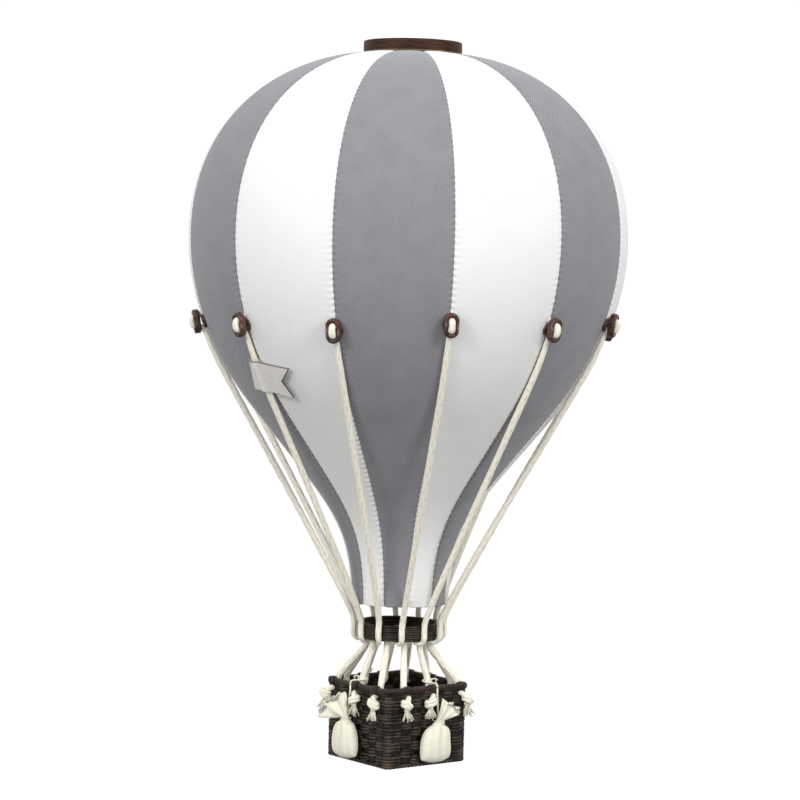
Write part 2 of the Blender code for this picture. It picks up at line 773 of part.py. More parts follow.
def main():
    """Build the whole balloon."""
    for item in list(bpy.data.objects):
        bpy.data.objects.remove(item)
    parts = make_collection("hot_air_balloon")
    cutters = make_collection("cutters")
    grey = make_material("grey_fabric", GREY_FABRIC, 0.85)
    white = make_material("white_fabric", WHITE_FABRIC, 0.85)
    card = make_material("form_card", CARD, 0.90)
    dark_wood = make_material("dark_wood", DARK_WOOD, 0.50)
    red_wood = make_material("red_wood", RED_WOOD, 0.35)
    cotton = make_material("cotton_cord", COTTON, 0.90)
    muslin = make_material("muslin", MUSLIN, 0.90)
    wicker = make_material("wicker", WICKER, 0.45)
    brass = make_material("brass", BRASS, 0.35, 1.0)
    tag_card = make_material("tag_card", TAG_CARD, 0.70)
    build_form(parts, cutters, card)
    build_gores(parts, grey, white)
    build_crown(parts, cutters, dark_wood, brass)
    build_toggles(parts, red_wood)
    build_stays(parts, cotton)
    build_load_ring(parts, wicker)
    build_basket(parts, cutters, wicker)
    for number in range(1, 5):
        build_bag(number, parts, cutters, muslin)
        build_tie(number, parts, muslin)
    build_tag(parts, tag_card)


main()
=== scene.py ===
"""Looks of the hanging decorative balloon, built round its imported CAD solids.

Units are metres, +Z is up and the origin is where the hanging eye bears. The CAD solids stay for
collision; each visible piece below stands for the solids that it is built over. The photograph's
camera, the floor and the lights come last.
"""

import math

import bpy
import numpy as np
from mathutils import Matrix, Vector


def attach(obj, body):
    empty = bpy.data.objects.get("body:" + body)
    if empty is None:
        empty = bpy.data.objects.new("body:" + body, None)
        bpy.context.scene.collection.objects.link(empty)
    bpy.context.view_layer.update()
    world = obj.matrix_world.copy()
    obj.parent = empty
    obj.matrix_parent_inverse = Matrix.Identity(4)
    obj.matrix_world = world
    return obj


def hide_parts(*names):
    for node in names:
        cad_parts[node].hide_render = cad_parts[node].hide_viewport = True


TAU = math.tau
GAP = 0.0003
UP = np.array((0.0, 0.0, 1.0))

# Envelope outline, as in the CAD source
# Columns: height, radius, lean below the horizontal in degrees, handle before, handle after
ENVELOPE_KNOTS = (
    (-0.0083, 0.0340, 5.0, 0.0000, 0.0624),
    (-0.1352, 0.1513, 90.0, 0.0778, 0.0445),
    (-0.2525, 0.1060, 128.9, 0.0416, 0.0876),
    (-0.3860, 0.0338, 92.4, 0.0576, 0.0000),
)
GORE_COUNT = 12
SEAM_TWIST = math.radians(3.6)
GORE_TOP_RADIUS = 0.0300
HEM_DEPTH = 0.0024
STITCH = 0.0042
SEAM_DEPTH = 0.0007
SEAM_HALF_WIDTH = 0.0013
PUCKER_REACH = 0.0022
WALE_PITCH = 0.00178
YARN_PITCH = 0.00074
FORM_PANELS = 6
FORM_INSET = 0.0013
FORM_THICKNESS = 0.0030
PANEL_GAP = 0.0006

# Crown
CROWN_OUTER = 0.0340
CROWN_INNER = 0.0280
CROWN_HEIGHT = 0.0080
DISC_TOP = -0.0063
DISC_BOTTOM = -0.0093
EYE_RADIUS = 0.0030
EYE_WIRE = 0.0007
EYE_SHANK = 0.0008
THREAD_PITCH = 0.0006
# Height of the tan line painted along the crown ring's lower edge
TAN_LINE_HEIGHT = 0.00022

# Toggles and stays
TOGGLE_HEIGHTS = (
    -0.1940, -0.1952, -0.1931, -0.1944, -0.1936, -0.1949,
    -0.1953, -0.1970, -0.1916, -0.1937, -0.1907, -0.1948,
)
TOGGLE_OFF_SKIN = 0.0057
TOGGLE_TILT = math.radians(9.5)
TOGGLE_SIZE = (0.0100, 0.0165)
TOGGLE_SLOT = (0.0050, 0.0106)
TOGGLE_THICKNESS = 0.0047
WASHER_RADIUS = 0.0049
WASHER_HOLE = 0.0016
WASHER_THICKNESS = 0.0018
STAY_RADIUS = 0.0021
STAY_LEAVES_SKIN = -0.2235
KNOT_CORD = 0.00165
KNOT_TURNS = 1.9
TASSEL_YARNS = 34

# Load ring
RING_OUTER = 0.0290
RING_INNER = 0.0258
RING_TOP = -0.4002
RING_BOTTOM = -0.4111
RING_TURNS = 7
RING_CANE = 0.0008
RING_TWIST = math.radians(-3.7)
HITCH_UP = math.radians(-7.0)
HITCH_DOWN = math.radians(6.0)

# Basket, by half widths
RIM_TOP = -0.4408
RIM_HEIGHT = 0.0045
RIM_BOTTOM = RIM_TOP - RIM_HEIGHT
RIM_OUTER = 0.0360
RIM_INNER = 0.0320
WALL_MIDDLE = 0.0331
WALL_OUTER = 0.0345
BASKET_BOTTOM = -0.4961
FLOOR_THICKNESS = 0.0026
FLOOR_STRIPS = 14
BORDER_PITCH = 0.0064
STAKES_TO_A_FACE = 7
STAKE_PITCH = 0.0087
STAKE_HALVES = (0.0034, 0.0008)
POST_HALVES = (0.0013, 0.0013)
# Thin dark strips midway between the stakes: a dark sheet standing for the shade in the weave's
# gaps
DARK_FILLER_HALVES = (0.0016, 0.0004)
STAKE_TOP = RIM_TOP - 0.0016
STAKE_BOTTOM = BASKET_BOTTOM + 0.0016
ROW_COUNT = 10
REEDS_TO_A_ROW = 3
POST_SIDE = 0.60
WEAVE_DEPTH = 0.00185
REED_HALF_THICKNESS = 0.00052
STRIP_HALF_THICKNESS = 0.00040
STRIP_LIFT = 0.00042
LASHING_TURNS = 5
LASHING_PITCH = 0.00104
LASHING_REED = 0.00048

# Stay ends, in the order of the seams round the envelope
# Columns: basket face, place along the face, place of the knot, number of the sandbag tied to
# the stay or 0, place of that bag's string
STAY_ENDS = (
    ("+X", 0.0041, 0.0021, 3, 0.0087),
    ("+X", 0.0290, 0.0290, 0, 0.0),
    ("+Y", 0.0117, 0.0117, 0, 0.0),
    ("+Y", -0.0055, -0.0075, 4, -0.0009),
    ("+Y", -0.0220, -0.0220, 0, 0.0),
    ("-X", 0.0290, 0.0320, 0, 0.0),
    ("-X", 0.0020, -0.0016, 1, 0.0050),
    ("-X", -0.0200, -0.0235, 0, 0.0),
    ("-Y", -0.0175, -0.0210, 0, 0.0),
    ("-Y", 0.0040, -0.0004, 2, 0.0062),
    ("-Y", 0.0290, 0.0320, 0, 0.0),
    ("+X", -0.0220, -0.0220, 0, 0.0),
)
FACE_NORMALS = {
    "+X": np.array((1.0, 0.0, 0.0)),
    "-X": np.array((-1.0, 0.0, 0.0)),
    "+Y": np.array((0.0, 1.0, 0.0)),
    "-Y": np.array((0.0, -1.0, 0.0)),
}
STAY_INSIDE = 0.02955
STAY_THROUGH_WALL = RIM_BOTTOM - 0.0027

# Sandbags
STRING_RADIUS = 0.0007
STRING_BEND = 0.0020
TWINE_LAY = 0.0036
NECK_TURNS = 2.6
NECK_TWINE = 0.00050
TAIL_TWINE = 0.00040
MUSLIN_PITCH = 0.00062
PIVOT_OUT = RIM_OUTER + GAP + STRING_RADIUS
PIVOT_HEIGHT = -0.4430
NECK_HEIGHT = -0.4655
NECK_OUT = 0.0400
# Columns: height, distance out, half width, half depth
BAG_BODY = (
    (-0.4657, 0.0402, 0.0034, 0.0028),
    (-0.4673, 0.0403, 0.0046, 0.0034),
    (-0.4697, 0.0404, 0.0088, 0.0044),
    (-0.4730, 0.0405, 0.0107, 0.0051),
    (-0.4785, 0.0406, 0.0117, 0.0055),
    (-0.4845, 0.0406, 0.0123, 0.0053),
    (-0.4882, 0.0405, 0.0121, 0.0043),
    (-0.4901, 0.0403, 0.0118, 0.0026),
    (-0.4908, 0.0402, 0.0112, 0.0010),
)
# Collars of the bags: from and to which lean from upright, in radians, and length
COLLARS = {
    1: (-0.12, 1.62, 0.0172),
    2: (0.02, 1.12, 0.0150),
    3: (-0.30, 1.20, 0.0150),
    4: (-0.20, 1.35, 0.0160),
}
# How far the bags hang out of line with their strings
BAG_SWAY = {1: 0.0, 2: -0.0034, 3: 0.0012, 4: -0.0010}

# Tag
TAG_STAY = 6
TAG_HEIGHT = -0.2276
TAG_LENGTH = 0.0327
TAG_WIDTH = 0.0220
TAG_NOTCH = 0.0077
TAG_LEFT = 0.0055
TAG_FOLD = 0.0003
TAG_EDGE = 0.0003
TAG_YARN_PITCH = 0.0006
TAG_EDGE_PITCH = 0.0012
TAG_TURN = math.radians(12.0)
TAG_SAG = math.radians(13.0)

# Camera, as fitted to the photograph's seams and outline
CAMERA_AZIMUTH = math.radians(-127.7)
CAMERA_DISTANCE = 1.818
CAMERA_HEIGHT = -0.1624
CAMERA_LENS = 118.3
CAMERA_ROLL = math.radians(1.40)
AIM_HEIGHT = -0.2465
AIM_LEFT = 0.0030
FLOOR_HEIGHT = -0.9
FLOOR_REACH = 40.0

# Light from all round: share of the way from straight down to straight up, brightness
SKY = (
    (0.00, 0.20),
    (0.36, 0.34),
    (0.465, 0.68),
    (0.484, 1.06),
    (0.62, 1.06),
    (1.00, 1.00),
)
SKY_STRENGTH = 2.0
# Soft boxes: name, turn from the camera in degrees, distance, height, size, watts
LIGHTS = (
    ("key_light", 36.0, 1.6, 0.42, 0.46, 8.9),
    ("fill_light", -36.0, 1.6, 0.42, 0.46, 8.0),
)
LIGHT_AIM = Vector((0.0, 0.0, -0.22))


def polar(radius, azimuth, height):
    """Return points given by distance from the axis, direction and height."""
    radius, azimuth, height = np.broadcast_arrays(radius, azimuth, height)
    return np.stack([radius * np.cos(azimuth), radius * np.sin(azimuth), height], -1)


def face_run(face):
    """Return the horizontal direction along a basket face."""
    normal = FACE_NORMALS[face]
    return np.array((abs(normal[1]), abs(normal[0]), 0.0))


def face_point(face, out, along, height):
    """Return a point beside a basket face: out from the centre and along the face."""
    return FACE_NORMALS[face] * out + face_run(face) * along + UP * height


def unit(vector):
    """Return a vector of length one."""
    return vector / np.linalg.norm(vector)


def signed_power(value, power):
    """Return values from -1 to 1 raised to a power, with their signs kept."""
    return np.sign(value) * np.abs(value) ** power


def lengths_along(points):
    """Return the length from the first of a row of points to each."""
    return np.concatenate([[0.0], np.cumsum(np.linalg.norm(np.diff(points, axis=0), axis=1))])


def seam_azimuth(index):
    """Return the direction of a seam."""
    return SEAM_TWIST + index * TAU / GORE_COUNT


def ring_azimuth(index):
    """Return the direction of a stay on the load ring."""
    return RING_TWIST + index * TAU / GORE_COUNT


def bezier_outline(steps):
    """Return points (radius, height) down the outer face of the fabric."""
    spans = []
    share = np.linspace(0.0, 1.0, steps)[:, None]
    rest = 1.0 - share
    for upper, lower in zip(ENVELOPE_KNOTS, ENVELOPE_KNOTS[1:]):
        ends = []
        for height, radius, lean, before, after in (upper, lower):
            way = np.array((math.cos(math.radians(lean)), -math.sin(math.radians(lean))))
            ends.append((np.array((radius, height)), way, before, after))
        (start, start_way, _, start_handle), (end, end_way, end_handle, _) = ends
        first = start + start_way * start_handle
        second = end - end_way * end_handle
        span = (rest**3 * start + 3 * rest**2 * share * first
                + 3 * rest * share**2 * second + share**3 * end)
        spans.append(span if not spans else span[1:])
    return np.vstack(spans)


class Outline:
    """The envelope's outline by the length along it from the crown."""

    def __init__(self):
        points = bezier_outline(160)
        self.length = lengths_along(points)
        self.radius, self.height = points.T
        way = np.gradient(points, axis=0)
        way /= np.linalg.norm(way, axis=1)[:, None]
        self.out_radius, self.out_height = -way[:, 1], way[:, 0]
        self.total = self.length[-1]

    def at(self, length):
        """Return radius, height and the two parts of the outward direction at a length."""
        return tuple(np.interp(length, self.length, values) for values in (
            self.radius, self.height, self.out_radius, self.out_height))

    def at_height(self, height):
        """Return what at() does, for a height below the crown."""
        return self.at(np.interp(-height, -self.height, self.length))


OUTLINE = Outline()


def beside_skin(height, radius):
    """Return the axis distance of a cord of this radius that lies on the fabric."""
    skin, _, out_radius, _ = OUTLINE.at_height(height)
    return skin + (radius + GAP) / out_radius


class Pile:
    """Gathers grids of points into one mesh, with their UVs and material numbers."""

    def __init__(self):
        self.points = []
        self.faces = []
        self.uvs = []
        self.slots = []
        self.count = 0

    def grid(self, points, uv, wrap=False, caps=False, slot=0, inside=None):
        """Add a grid of points[row, column], closed across the columns if wrap."""
        rows, columns = points.shape[:2]
        row = np.arange(rows - 1)[:, None]
        column = np.arange(columns if wrap else columns - 1)[None, :]
        beside = (column + 1) % columns
        corners = [row * columns + column, row * columns + beside,
                   (row + 1) * columns + beside, (row + 1) * columns + column]
        faces = np.stack([c + 0 * row for c in corners], -1).reshape(-1, 4)
        uv_corners = [(row, column), (row, column + 1), (row + 1, column + 1), (row + 1, column)]
        uvs = np.stack([uv[r + 0 * c, c + 0 * r] for r, c in uv_corners], 2).reshape(-1, 4, 2)
        flat = points.reshape(-1, 3)
        corner = flat[faces] - (flat.mean(0) if inside is None else np.asarray(inside))
        turn = np.cross(corner[:, 2] - corner[:, 0], corner[:, 3] - corner[:, 1])
        flip = (turn * corner.mean(1)).sum() < 0
        if flip:
            faces, uvs = faces[:, ::-1], uvs[:, ::-1]
        self.faces.extend((faces + self.count).tolist())
        self.uvs.extend(uvs.reshape(-1, 2).tolist())
        extra = []
        for end, first in ((0, not flip), (rows - 1, flip)) if caps else ():
            centre = rows * columns + len(extra)
            extra.append(points[end].mean(0))
            ring = [end * columns + c for c in range(columns)]
            for a, b in zip(ring, ring[1:] + ring[:1]):
                face = (b, a, centre) if first else (a, b, centre)
                self.faces.append([v + self.count for v in face])
                self.uvs.extend([uv[end, 0].tolist()] * 3)
        self.slots.extend([slot] * (len(self.faces) - len(self.slots)))
        self.points.append(np.vstack([flat] + [e[None] for e in extra]))
        self.count += len(self.points[-1])

    def tube(self, path, radius, sides, slot=0, **options):
        """Add a tube along an open path, with closed ends."""
        points, uv = tube(path, radius, sides, **options)
        self.grid(points, uv, wrap=True, caps=True, slot=slot)

    def ring(self, path, radius, sides, trim=(0, 0), **options):
        """Add a tube along a closed path, less the rows that only guide its two ends."""
        points, uv = tube(path, radius, sides, **options)
        kept = slice(trim[0], len(points) - trim[1])
        points, uv = points[kept], uv[kept]
        points[-1] = points[0]
        self.grid(points, uv, wrap=True)

    def finish(self, name, materials, body="root", replaces=()):
        """Make the object, set it on its body and hide the CAD nodes that it stands for."""
        mesh = bpy.data.meshes.new(name)
        mesh.from_pydata(np.vstack(self.points).tolist(), [], self.faces)
        layer = mesh.uv_layers.new(name="metres")
        layer.data.foreach_set("uv", np.asarray(self.uvs, np.float32).ravel())
        for material in materials:
            mesh.materials.append(material)
        mesh.polygons.foreach_set("material_index", self.slots)
        mesh.shade_smooth()
        mesh.update()
        item = bpy.data.objects.new(name, mesh)
        bpy.context.scene.collection.objects.link(item)
        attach(item, body)
        if replaces:
            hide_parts(*replaces)
        return item


def grid_uv(points, wrap=False):
    """Return UVs in metres measured along the middle column and the middle row of a grid."""
    rows, columns = points.shape[:2]
    ring = points[rows // 2]
    if wrap:
        ring = np.vstack([ring, ring[:1]])
    v, u = lengths_along(points[:, columns // 2]), lengths_along(ring)
    return np.stack(np.broadcast_arrays(u[None, :], v[:, None]), -1)


def swept_uv(points, end):
    """Return UVs of a section swept along the rows, one column more by the end named."""
    uv = grid_uv(points.transpose(1, 0, 2)).transpose(1, 0, 2)
    return np.concatenate([uv, uv[:, end]], 1)


def closed(points):
    """Return a grid with its first row again at the end."""
    return np.concatenate([points, points[:1]], 0)


def smooth_path(knots, step):
    """Return even steps on a smooth curve through rows of (x, y, z, factor)."""
    knots = np.asarray(knots, float)
    row = np.vstack([2 * knots[:1] - knots[1:2], knots, 2 * knots[-1:] - knots[-2:-1]])
    spans = np.sqrt(np.linalg.norm(np.diff(row[:, :3], axis=0), axis=1)) + 1e-9
    times = np.concatenate([[0.0], np.cumsum(spans)])
    result = []
    for index in range(1, len(row) - 2):
        p0, p1, p2, p3 = row[index - 1:index + 3]
        t0, t1, t2, t3 = times[index - 1:index + 3]
        count = max(2, math.ceil(np.linalg.norm(p2[:3] - p1[:3]) / step))
        t = np.linspace(t1, t2, count, endpoint=False)[:, None]
        a1 = (t1 - t) / (t1 - t0) * p0 + (t - t0) / (t1 - t0) * p1
        a2 = (t2 - t) / (t2 - t1) * p1 + (t - t1) / (t2 - t1) * p2
        a3 = (t3 - t) / (t3 - t2) * p2 + (t - t2) / (t3 - t2) * p3
        b1 = (t2 - t) / (t2 - t0) * a1 + (t - t0) / (t2 - t0) * a2
        b2 = (t3 - t) / (t3 - t1) * a2 + (t - t1) / (t3 - t1) * a3
        result.append((t2 - t) / (t2 - t1) * b1 + (t - t1) / (t2 - t1) * b2)
    result.append(row[-2:-1])
    return np.vstack(result)


def frames(path, up=None):
    """Return two cross directions down a path, twist free or kept level."""
    way = np.gradient(path, axis=0)
    way /= np.linalg.norm(way, axis=1)[:, None]
    if up is not None:
        side = np.cross(way, up)
        side /= np.linalg.norm(side, axis=1)[:, None]
        return side, np.cross(side, way)
    side = np.zeros_like(path)
    side[0] = unit(np.cross(way[0], UP if abs(way[0][2]) < 0.9 else (1.0, 0.0, 0.0)))
    for index in range(1, len(path)):
        side[index] = unit(side[index - 1] - way[index] * side[index - 1].dot(way[index]))
    return side, np.cross(way, side)


def tube(path, radius, sides, up=None, shape=(1.0, 1.0), ripple=None):
    """Return a grid of points round a path and its UVs: turns round and metres along."""
    side, other = frames(path, up)
    angle = np.arange(sides) * TAU / sides
    radius = np.broadcast_to(np.asarray(radius, float), (len(path),))[:, None]
    length = lengths_along(path)
    if ripple is not None:
        radius = radius * ripple(angle[None, :], length[:, None])
    a = (radius * shape[0] * np.cos(angle))[..., None] * side[:, None]
    b = (radius * shape[1] * np.sin(angle))[..., None] * other[:, None]
    turns = np.arange(sides + 1) / sides
    uv = np.stack(np.broadcast_arrays(turns[None, :], length[:, None]), -1)
    return path[:, None] + a + b, uv


def lathe(profile, steps, start=0.0, end=TAU):
    """Return a grid [profile point, angle] of a turned profile of (radius, height)."""
    profile = np.asarray(profile, float)
    full = abs(end - start - TAU) < 1e-6
    angle = np.linspace(start, end, steps + 1)[:steps if full else steps + 1]
    return polar(profile[:, :1], angle[None, :], profile[:, 1:])


def rounded_profile(corners, rounding, steps=4):
    """Return a closed profile with each corner rounded off."""
    corners = np.asarray(corners, float)
    result = []
    for before, corner, after in zip(np.roll(corners, 1, 0), corners, np.roll(corners, -1, 0)):
        a = corner + unit(before - corner) * rounding
        b = corner + unit(after - corner) * rounding
        for share in np.linspace(0.0, 1.0, steps):
            rest = 1.0 - share
            result.append(rest**2 * a + 2 * rest * share * corner + share**2 * b)
    return np.array(result)


class Value:
    """The output of a node, with arithmetic that adds Math nodes."""

    def __init__(self, paint, socket):
        self.paint = paint
        self.socket = socket

    def __add__(self, other):
        return self.paint.math("ADD", self, other)

    def __sub__(self, other):
        return self.paint.math("SUBTRACT", self, other)

    def __mul__(self, other):
        return self.paint.math("MULTIPLY", self, other)

    def __truediv__(self, other):
        return self.paint.math("DIVIDE", self, other)


class Paint:
    """A Principled material and short ways to add nodes to it."""

    def __init__(self, name, colour, roughness, **constants):
        self.material = bpy.data.materials.new(name)
        self.material.use_nodes = True
        self.material.diffuse_color = (*colour[:3], 1.0)
        self.tree = self.material.node_tree
        self.shader = self.tree.nodes["Principled BSDF"]
        self.base = None
        self.set(base_color=(*colour[:3], 1.0), roughness=roughness, **constants)

    def set(self, **constants):
        """Set the shader's own sockets by name."""
        for label, value in constants.items():
            label = label.replace("_", " ").title().replace("Ior", "IOR")
            self.shader.inputs[label].default_value = value

    def node(self, kind, **links):
        """Add a node and set or link its inputs by name."""
        node = self.tree.nodes.new(kind)
        for label, value in links.items():
            self.feed(node.inputs[label.replace("_", " ").title()], value)
        return node

    def feed(self, socket, value):
        """Set a socket to a value or link it to another socket."""
        if isinstance(value, Value):
            self.tree.links.new(value.socket, socket)
        else:
            socket.default_value = value

    def math(self, operation, a, b=0.0):
        """Return the result of a Math node."""
        node = self.tree.nodes.new("ShaderNodeMath")
        node.operation = operation
        self.feed(node.inputs[0], a)
        self.feed(node.inputs[1], b)
        return Value(self, node.outputs[0])

    def mix(self, share, a, b):
        """Return a mix of two colours."""
        node = self.tree.nodes.new("ShaderNodeMix")
        node.data_type = "RGBA"
        for socket, value in ((0, share), (6, a), (7, b)):
            self.feed(node.inputs[socket], value)
        return Value(self, node.outputs[2])

    def parts(self, vector):
        """Return the three parts of a vector."""
        outputs = self.node("ShaderNodeSeparateXYZ", vector=vector).outputs
        return [Value(self, output) for output in outputs]

    def uv(self, name="metres"):
        """Return the two coordinates of a UV map."""
        node = self.tree.nodes.new("ShaderNodeUVMap")
        node.uv_map = name
        return self.parts(Value(self, node.outputs[0]))[:2]

    def position(self):
        """Return the place on the object."""
        return Value(self, self.tree.nodes.new("ShaderNodeTexCoord").outputs["Object"])

    def noise(self, place, scale, detail=2.0):
        """Return the grey value of a noise texture at a vector or at two coordinates."""
        if isinstance(place, tuple):
            node = self.node("ShaderNodeCombineXYZ", x=place[0], y=place[1])
            place = Value(self, node.outputs[0])
        node = self.node("ShaderNodeTexNoise", vector=place, scale=scale, detail=detail)
        return Value(self, node.outputs[0])

    def stretched(self, value, low, high):
        """Return a value stretched so that low and high become 0 and 1."""
        node = self.node("ShaderNodeMapRange", value=value, from_min=low, from_max=high)
        return Value(self, node.outputs[0])

    def sine(self, value, pitch):
        """Return a sine wave from 0 to 1 of a pitch in the value's units."""
        return self.math("SINE", value * (TAU / pitch)) * 0.5 + 0.5

    def colour(self, share, a, b):
        """Feed the base colour with a mix of two colours."""
        self.base = self.mix(share, a, b)
        self.feed(self.shader.inputs["Base Color"], self.base)

    def roughness(self, value):
        """Feed the roughness."""
        self.feed(self.shader.inputs["Roughness"], value)

    def bump(self, height, distance, strength=1.0, below=None):
        """Feed the normal with a height, in shares of the distance, over another bump if given."""
        node = self.node("ShaderNodeBump", height=height, distance=distance, strength=strength)
        if below is not None:
            self.feed(node.inputs["Normal"], below)
        normal = Value(self, node.outputs[0])
        self.feed(self.shader.inputs["Normal"], normal)
        return normal


def rgba(r, g, b):
    """Return a colour socket value."""
    return (r, g, b, 1.0)


def twill_paint(name, light, dark, seam):
    """Return a twill: diagonal wales of two tones, with needle puckers along its seams."""
    paint = Paint(name, light, 0.88, sheen_weight=0.25, sheen_roughness=0.5,
                  specular_ior_level=0.2)
    u, v = paint.uv()
    wale = paint.sine(u + v * 0.85, WALE_PITCH)
    thread = paint.sine(v - u * 0.5, YARN_PITCH)
    fleck = paint.noise((u, v), 1400.0, 1.0)
    broad = paint.noise((u, v), 60.0, 3.0)
    weave = wale * (thread * 0.35 + 0.65)
    tone = weave * 0.55 + fleck * 0.5 + (broad - 0.5) * 0.25
    cloth = paint.mix(tone, dark, light)
    distance, _ = paint.uv("seam")
    stitch = paint.sine(v, STITCH)
    near = paint.math("LESS_THAN", distance, stitch * 0.00055 + 0.00005)
    paint.colour(near * 0.55, cloth, seam)
    pucker = paint.math("EXPONENT", distance * (-1 / PUCKER_REACH)) * stitch
    first = paint.bump(weave, 0.00012, 0.8)
    paint.bump(pucker, 0.0006, 0.9, first)
    return paint


def wood_paint(name, dark, light, roughness, stretch=12.0, scale=900.0):
    """Return a wood whose grain runs along its first UV direction."""
    paint = Paint(name, dark, roughness, coat_weight=0.25, coat_roughness=0.25)
    u, v = paint.uv()
    grain = paint.noise((u / stretch, v), scale, 4.0)
    pores = paint.noise((u / (stretch * 2), v), scale * 4, 2.0)
    paint.colour(paint.stretched(grain, 0.38, 0.72), dark, light)
    paint.roughness(pores * 0.25 + (roughness - 0.1))
    paint.bump(grain + pores * 0.6, 0.00015, 0.5)
    return paint


def cord_paint(name, light, dark, braids, lead):
    """Return a braided cotton cord: strands cross in both directions round it."""
    paint = Paint(name, light, 0.9, sheen_weight=0.3, sheen_roughness=0.5,
                  specular_ior_level=0.15)
    u, v = paint.uv()
    turn, rise = u * float(braids), v / lead
    height = paint.math("MAXIMUM", paint.sine(turn + rise, 1.0), paint.sine(turn - rise, 1.0))
    fibre = paint.noise((u * 0.013, v), 2600.0)
    paint.colour(height * 0.7 + fibre * 0.4, dark, light)
    paint.bump(height + fibre * 0.4, 0.0003, 0.8)
    return paint


def muslin_paint(name, light, dark):
    """Return a plain weave muslin with uneven threads."""
    paint = Paint(name, light, 0.92, sheen_weight=0.2, sheen_roughness=0.5,
                  specular_ior_level=0.15)
    u, v = paint.uv()
    weave = paint.math("MAXIMUM", paint.sine(v, MUSLIN_PITCH), paint.sine(u, MUSLIN_PITCH))
    uneven = paint.noise((u, v), 350.0, 3.0)
    paint.colour(weave * 0.5 + uneven * 0.6, dark, light)
    first = paint.bump(weave, 0.00012, 0.6)
    paint.bump(uneven, 0.0005, 0.4, first)
    return paint


def reed_paint(name, dark, light):
    """Return dark stained and lacquered reed with streaks along it."""
    paint = Paint(name, dark, 0.42, specular_ior_level=0.30)
    u, v = paint.uv()
    streak = paint.noise((u * 0.006, v / 14.0), 1500.0, 3.0)
    patch = paint.noise(paint.position(), 160.0, 3.0)
    paint.colour(paint.stretched(streak * patch, 0.16, 0.42), dark, light)
    paint.roughness(streak * 0.3 + 0.25)
    paint.bump(streak, 0.0002, 0.6)
    return paint


def card_paint(name, light, dark):
    """Return rough moulded card."""
    paint = Paint(name, light, 0.95)
    pulp = paint.noise(paint.position(), 120.0, 6.0)
    fine = paint.noise(paint.position(), 1440.0, 3.0)
    paint.colour(pulp, dark, light)
    first = paint.bump(pulp, 0.0012, 0.5)
    paint.bump(fine, 0.0002, 0.5, first)
    return paint


def crown_paint():
    """Return the crown ring's dark wood: level streaks, and a tan line painted along its lower
    edge.
    """
    paint = wood_paint("crown_wood", rgba(0.018, 0.006, 0.003), rgba(0.072, 0.028, 0.011), 0.50,
                       stretch=16.0, scale=1500.0)
    paint.set(coat_weight=0.0, specular_ior_level=0.18)
    height = paint.parts(paint.position())[2]
    ragged = paint.noise((paint.uv()[0], 0.0), 220.0) * 0.0005
    # A tan line is painted along the ring's lower edge, its top ragged
    tan_line = paint.math("LESS_THAN", height, ragged + (-CROWN_HEIGHT + TAN_LINE_HEIGHT))
    paint.colour(tan_line, paint.base, rgba(0.36, 0.24, 0.13))
    return paint


def tag_paint():
    """Return the tag's pale woven face."""
    paint = Paint("tag_cloth", (0.62, 0.62, 0.58), 0.9)
    u, v = paint.uv()
    weave = paint.sine(u, TAG_YARN_PITCH) * paint.sine(v, TAG_YARN_PITCH)
    blotch = paint.noise((u, v), 260.0, 3.0)
    paint.colour(weave * 0.3 + blotch * 0.7, rgba(0.66, 0.64, 0.62), rgba(0.86, 0.84, 0.82))
    paint.bump(weave, 0.00015, 0.6)
    return paint


def thread_paint():
    """Return the dark thread that binds the tag's edges."""
    paint = Paint("tag_edge_thread", (0.10, 0.09, 0.09), 0.9)
    turns = paint.sine(paint.uv()[1], TAG_EDGE_PITCH)
    paint.bump(turns, 0.0002, 0.8)
    paint.colour(turns, rgba(0.05, 0.045, 0.045), rgba(0.16, 0.15, 0.15))
    return paint


def brass_paint():
    """Return plain brass with light handling marks."""
    paint = Paint("plain_brass", (0.62, 0.43, 0.18), 0.3, metallic=1.0)
    mark = paint.noise(paint.position(), 1500.0, 3.0)
    paint.colour(mark, rgba(0.50, 0.34, 0.14), rgba(0.70, 0.50, 0.22))
    paint.roughness(mark * 0.3 + 0.2)
    paint.bump(mark, 0.0001, 0.3)
    return paint


def make_paints():
    """Return all the materials by name."""
    grey_dark = rgba(0.120, 0.118, 0.132)
    paints = {
        "grey": twill_paint("grey_twill", rgba(0.385, 0.380, 0.405), grey_dark, grey_dark),
        "white": twill_paint("white_twill", rgba(0.91, 0.91, 0.91), rgba(0.77, 0.77, 0.77),
                             rgba(0.30, 0.30, 0.33)),
        "card": card_paint("moulded_card", rgba(0.50, 0.47, 0.40), rgba(0.36, 0.33, 0.27)),
        "cord": cord_paint("braided_cotton", rgba(0.94, 0.91, 0.79), rgba(0.74, 0.69, 0.56),
                           4, 0.0125),
        "twine": cord_paint("cotton_twine", rgba(0.88, 0.85, 0.72), rgba(0.62, 0.57, 0.44),
                            1, 0.0024),
        "muslin": muslin_paint("cream_muslin", rgba(0.90, 0.87, 0.74), rgba(0.74, 0.71, 0.57)),
        "reed": reed_paint("dark_reed", rgba(0.005, 0.0035, 0.003), rgba(0.095, 0.060, 0.045)),
        # The stakes get a far darker copy of the reed: painted shade for their recess behind the
        # weavers
        "stake": reed_paint("shaded_stake_reed", rgba(0.002, 0.0015, 0.001), rgba(0.018, 0.012, 0.009)),
        "rim": reed_paint("rim_reed", rgba(0.008, 0.004, 0.003), rgba(0.052, 0.025, 0.018)),
        "toggle": wood_paint("polished_wood", rgba(0.018, 0.005, 0.003),
                             rgba(0.125, 0.042, 0.018), 0.34, stretch=8.0, scale=700.0),
        "disc": wood_paint("plain_wood", rgba(0.10, 0.060, 0.040), rgba(0.22, 0.14, 0.09), 0.5),
        "crown": crown_paint(),
        "tag": tag_paint(),
        "thread": thread_paint(),
        "brass": brass_paint(),
    }
    return {name: paint.material for name, paint in paints.items()}


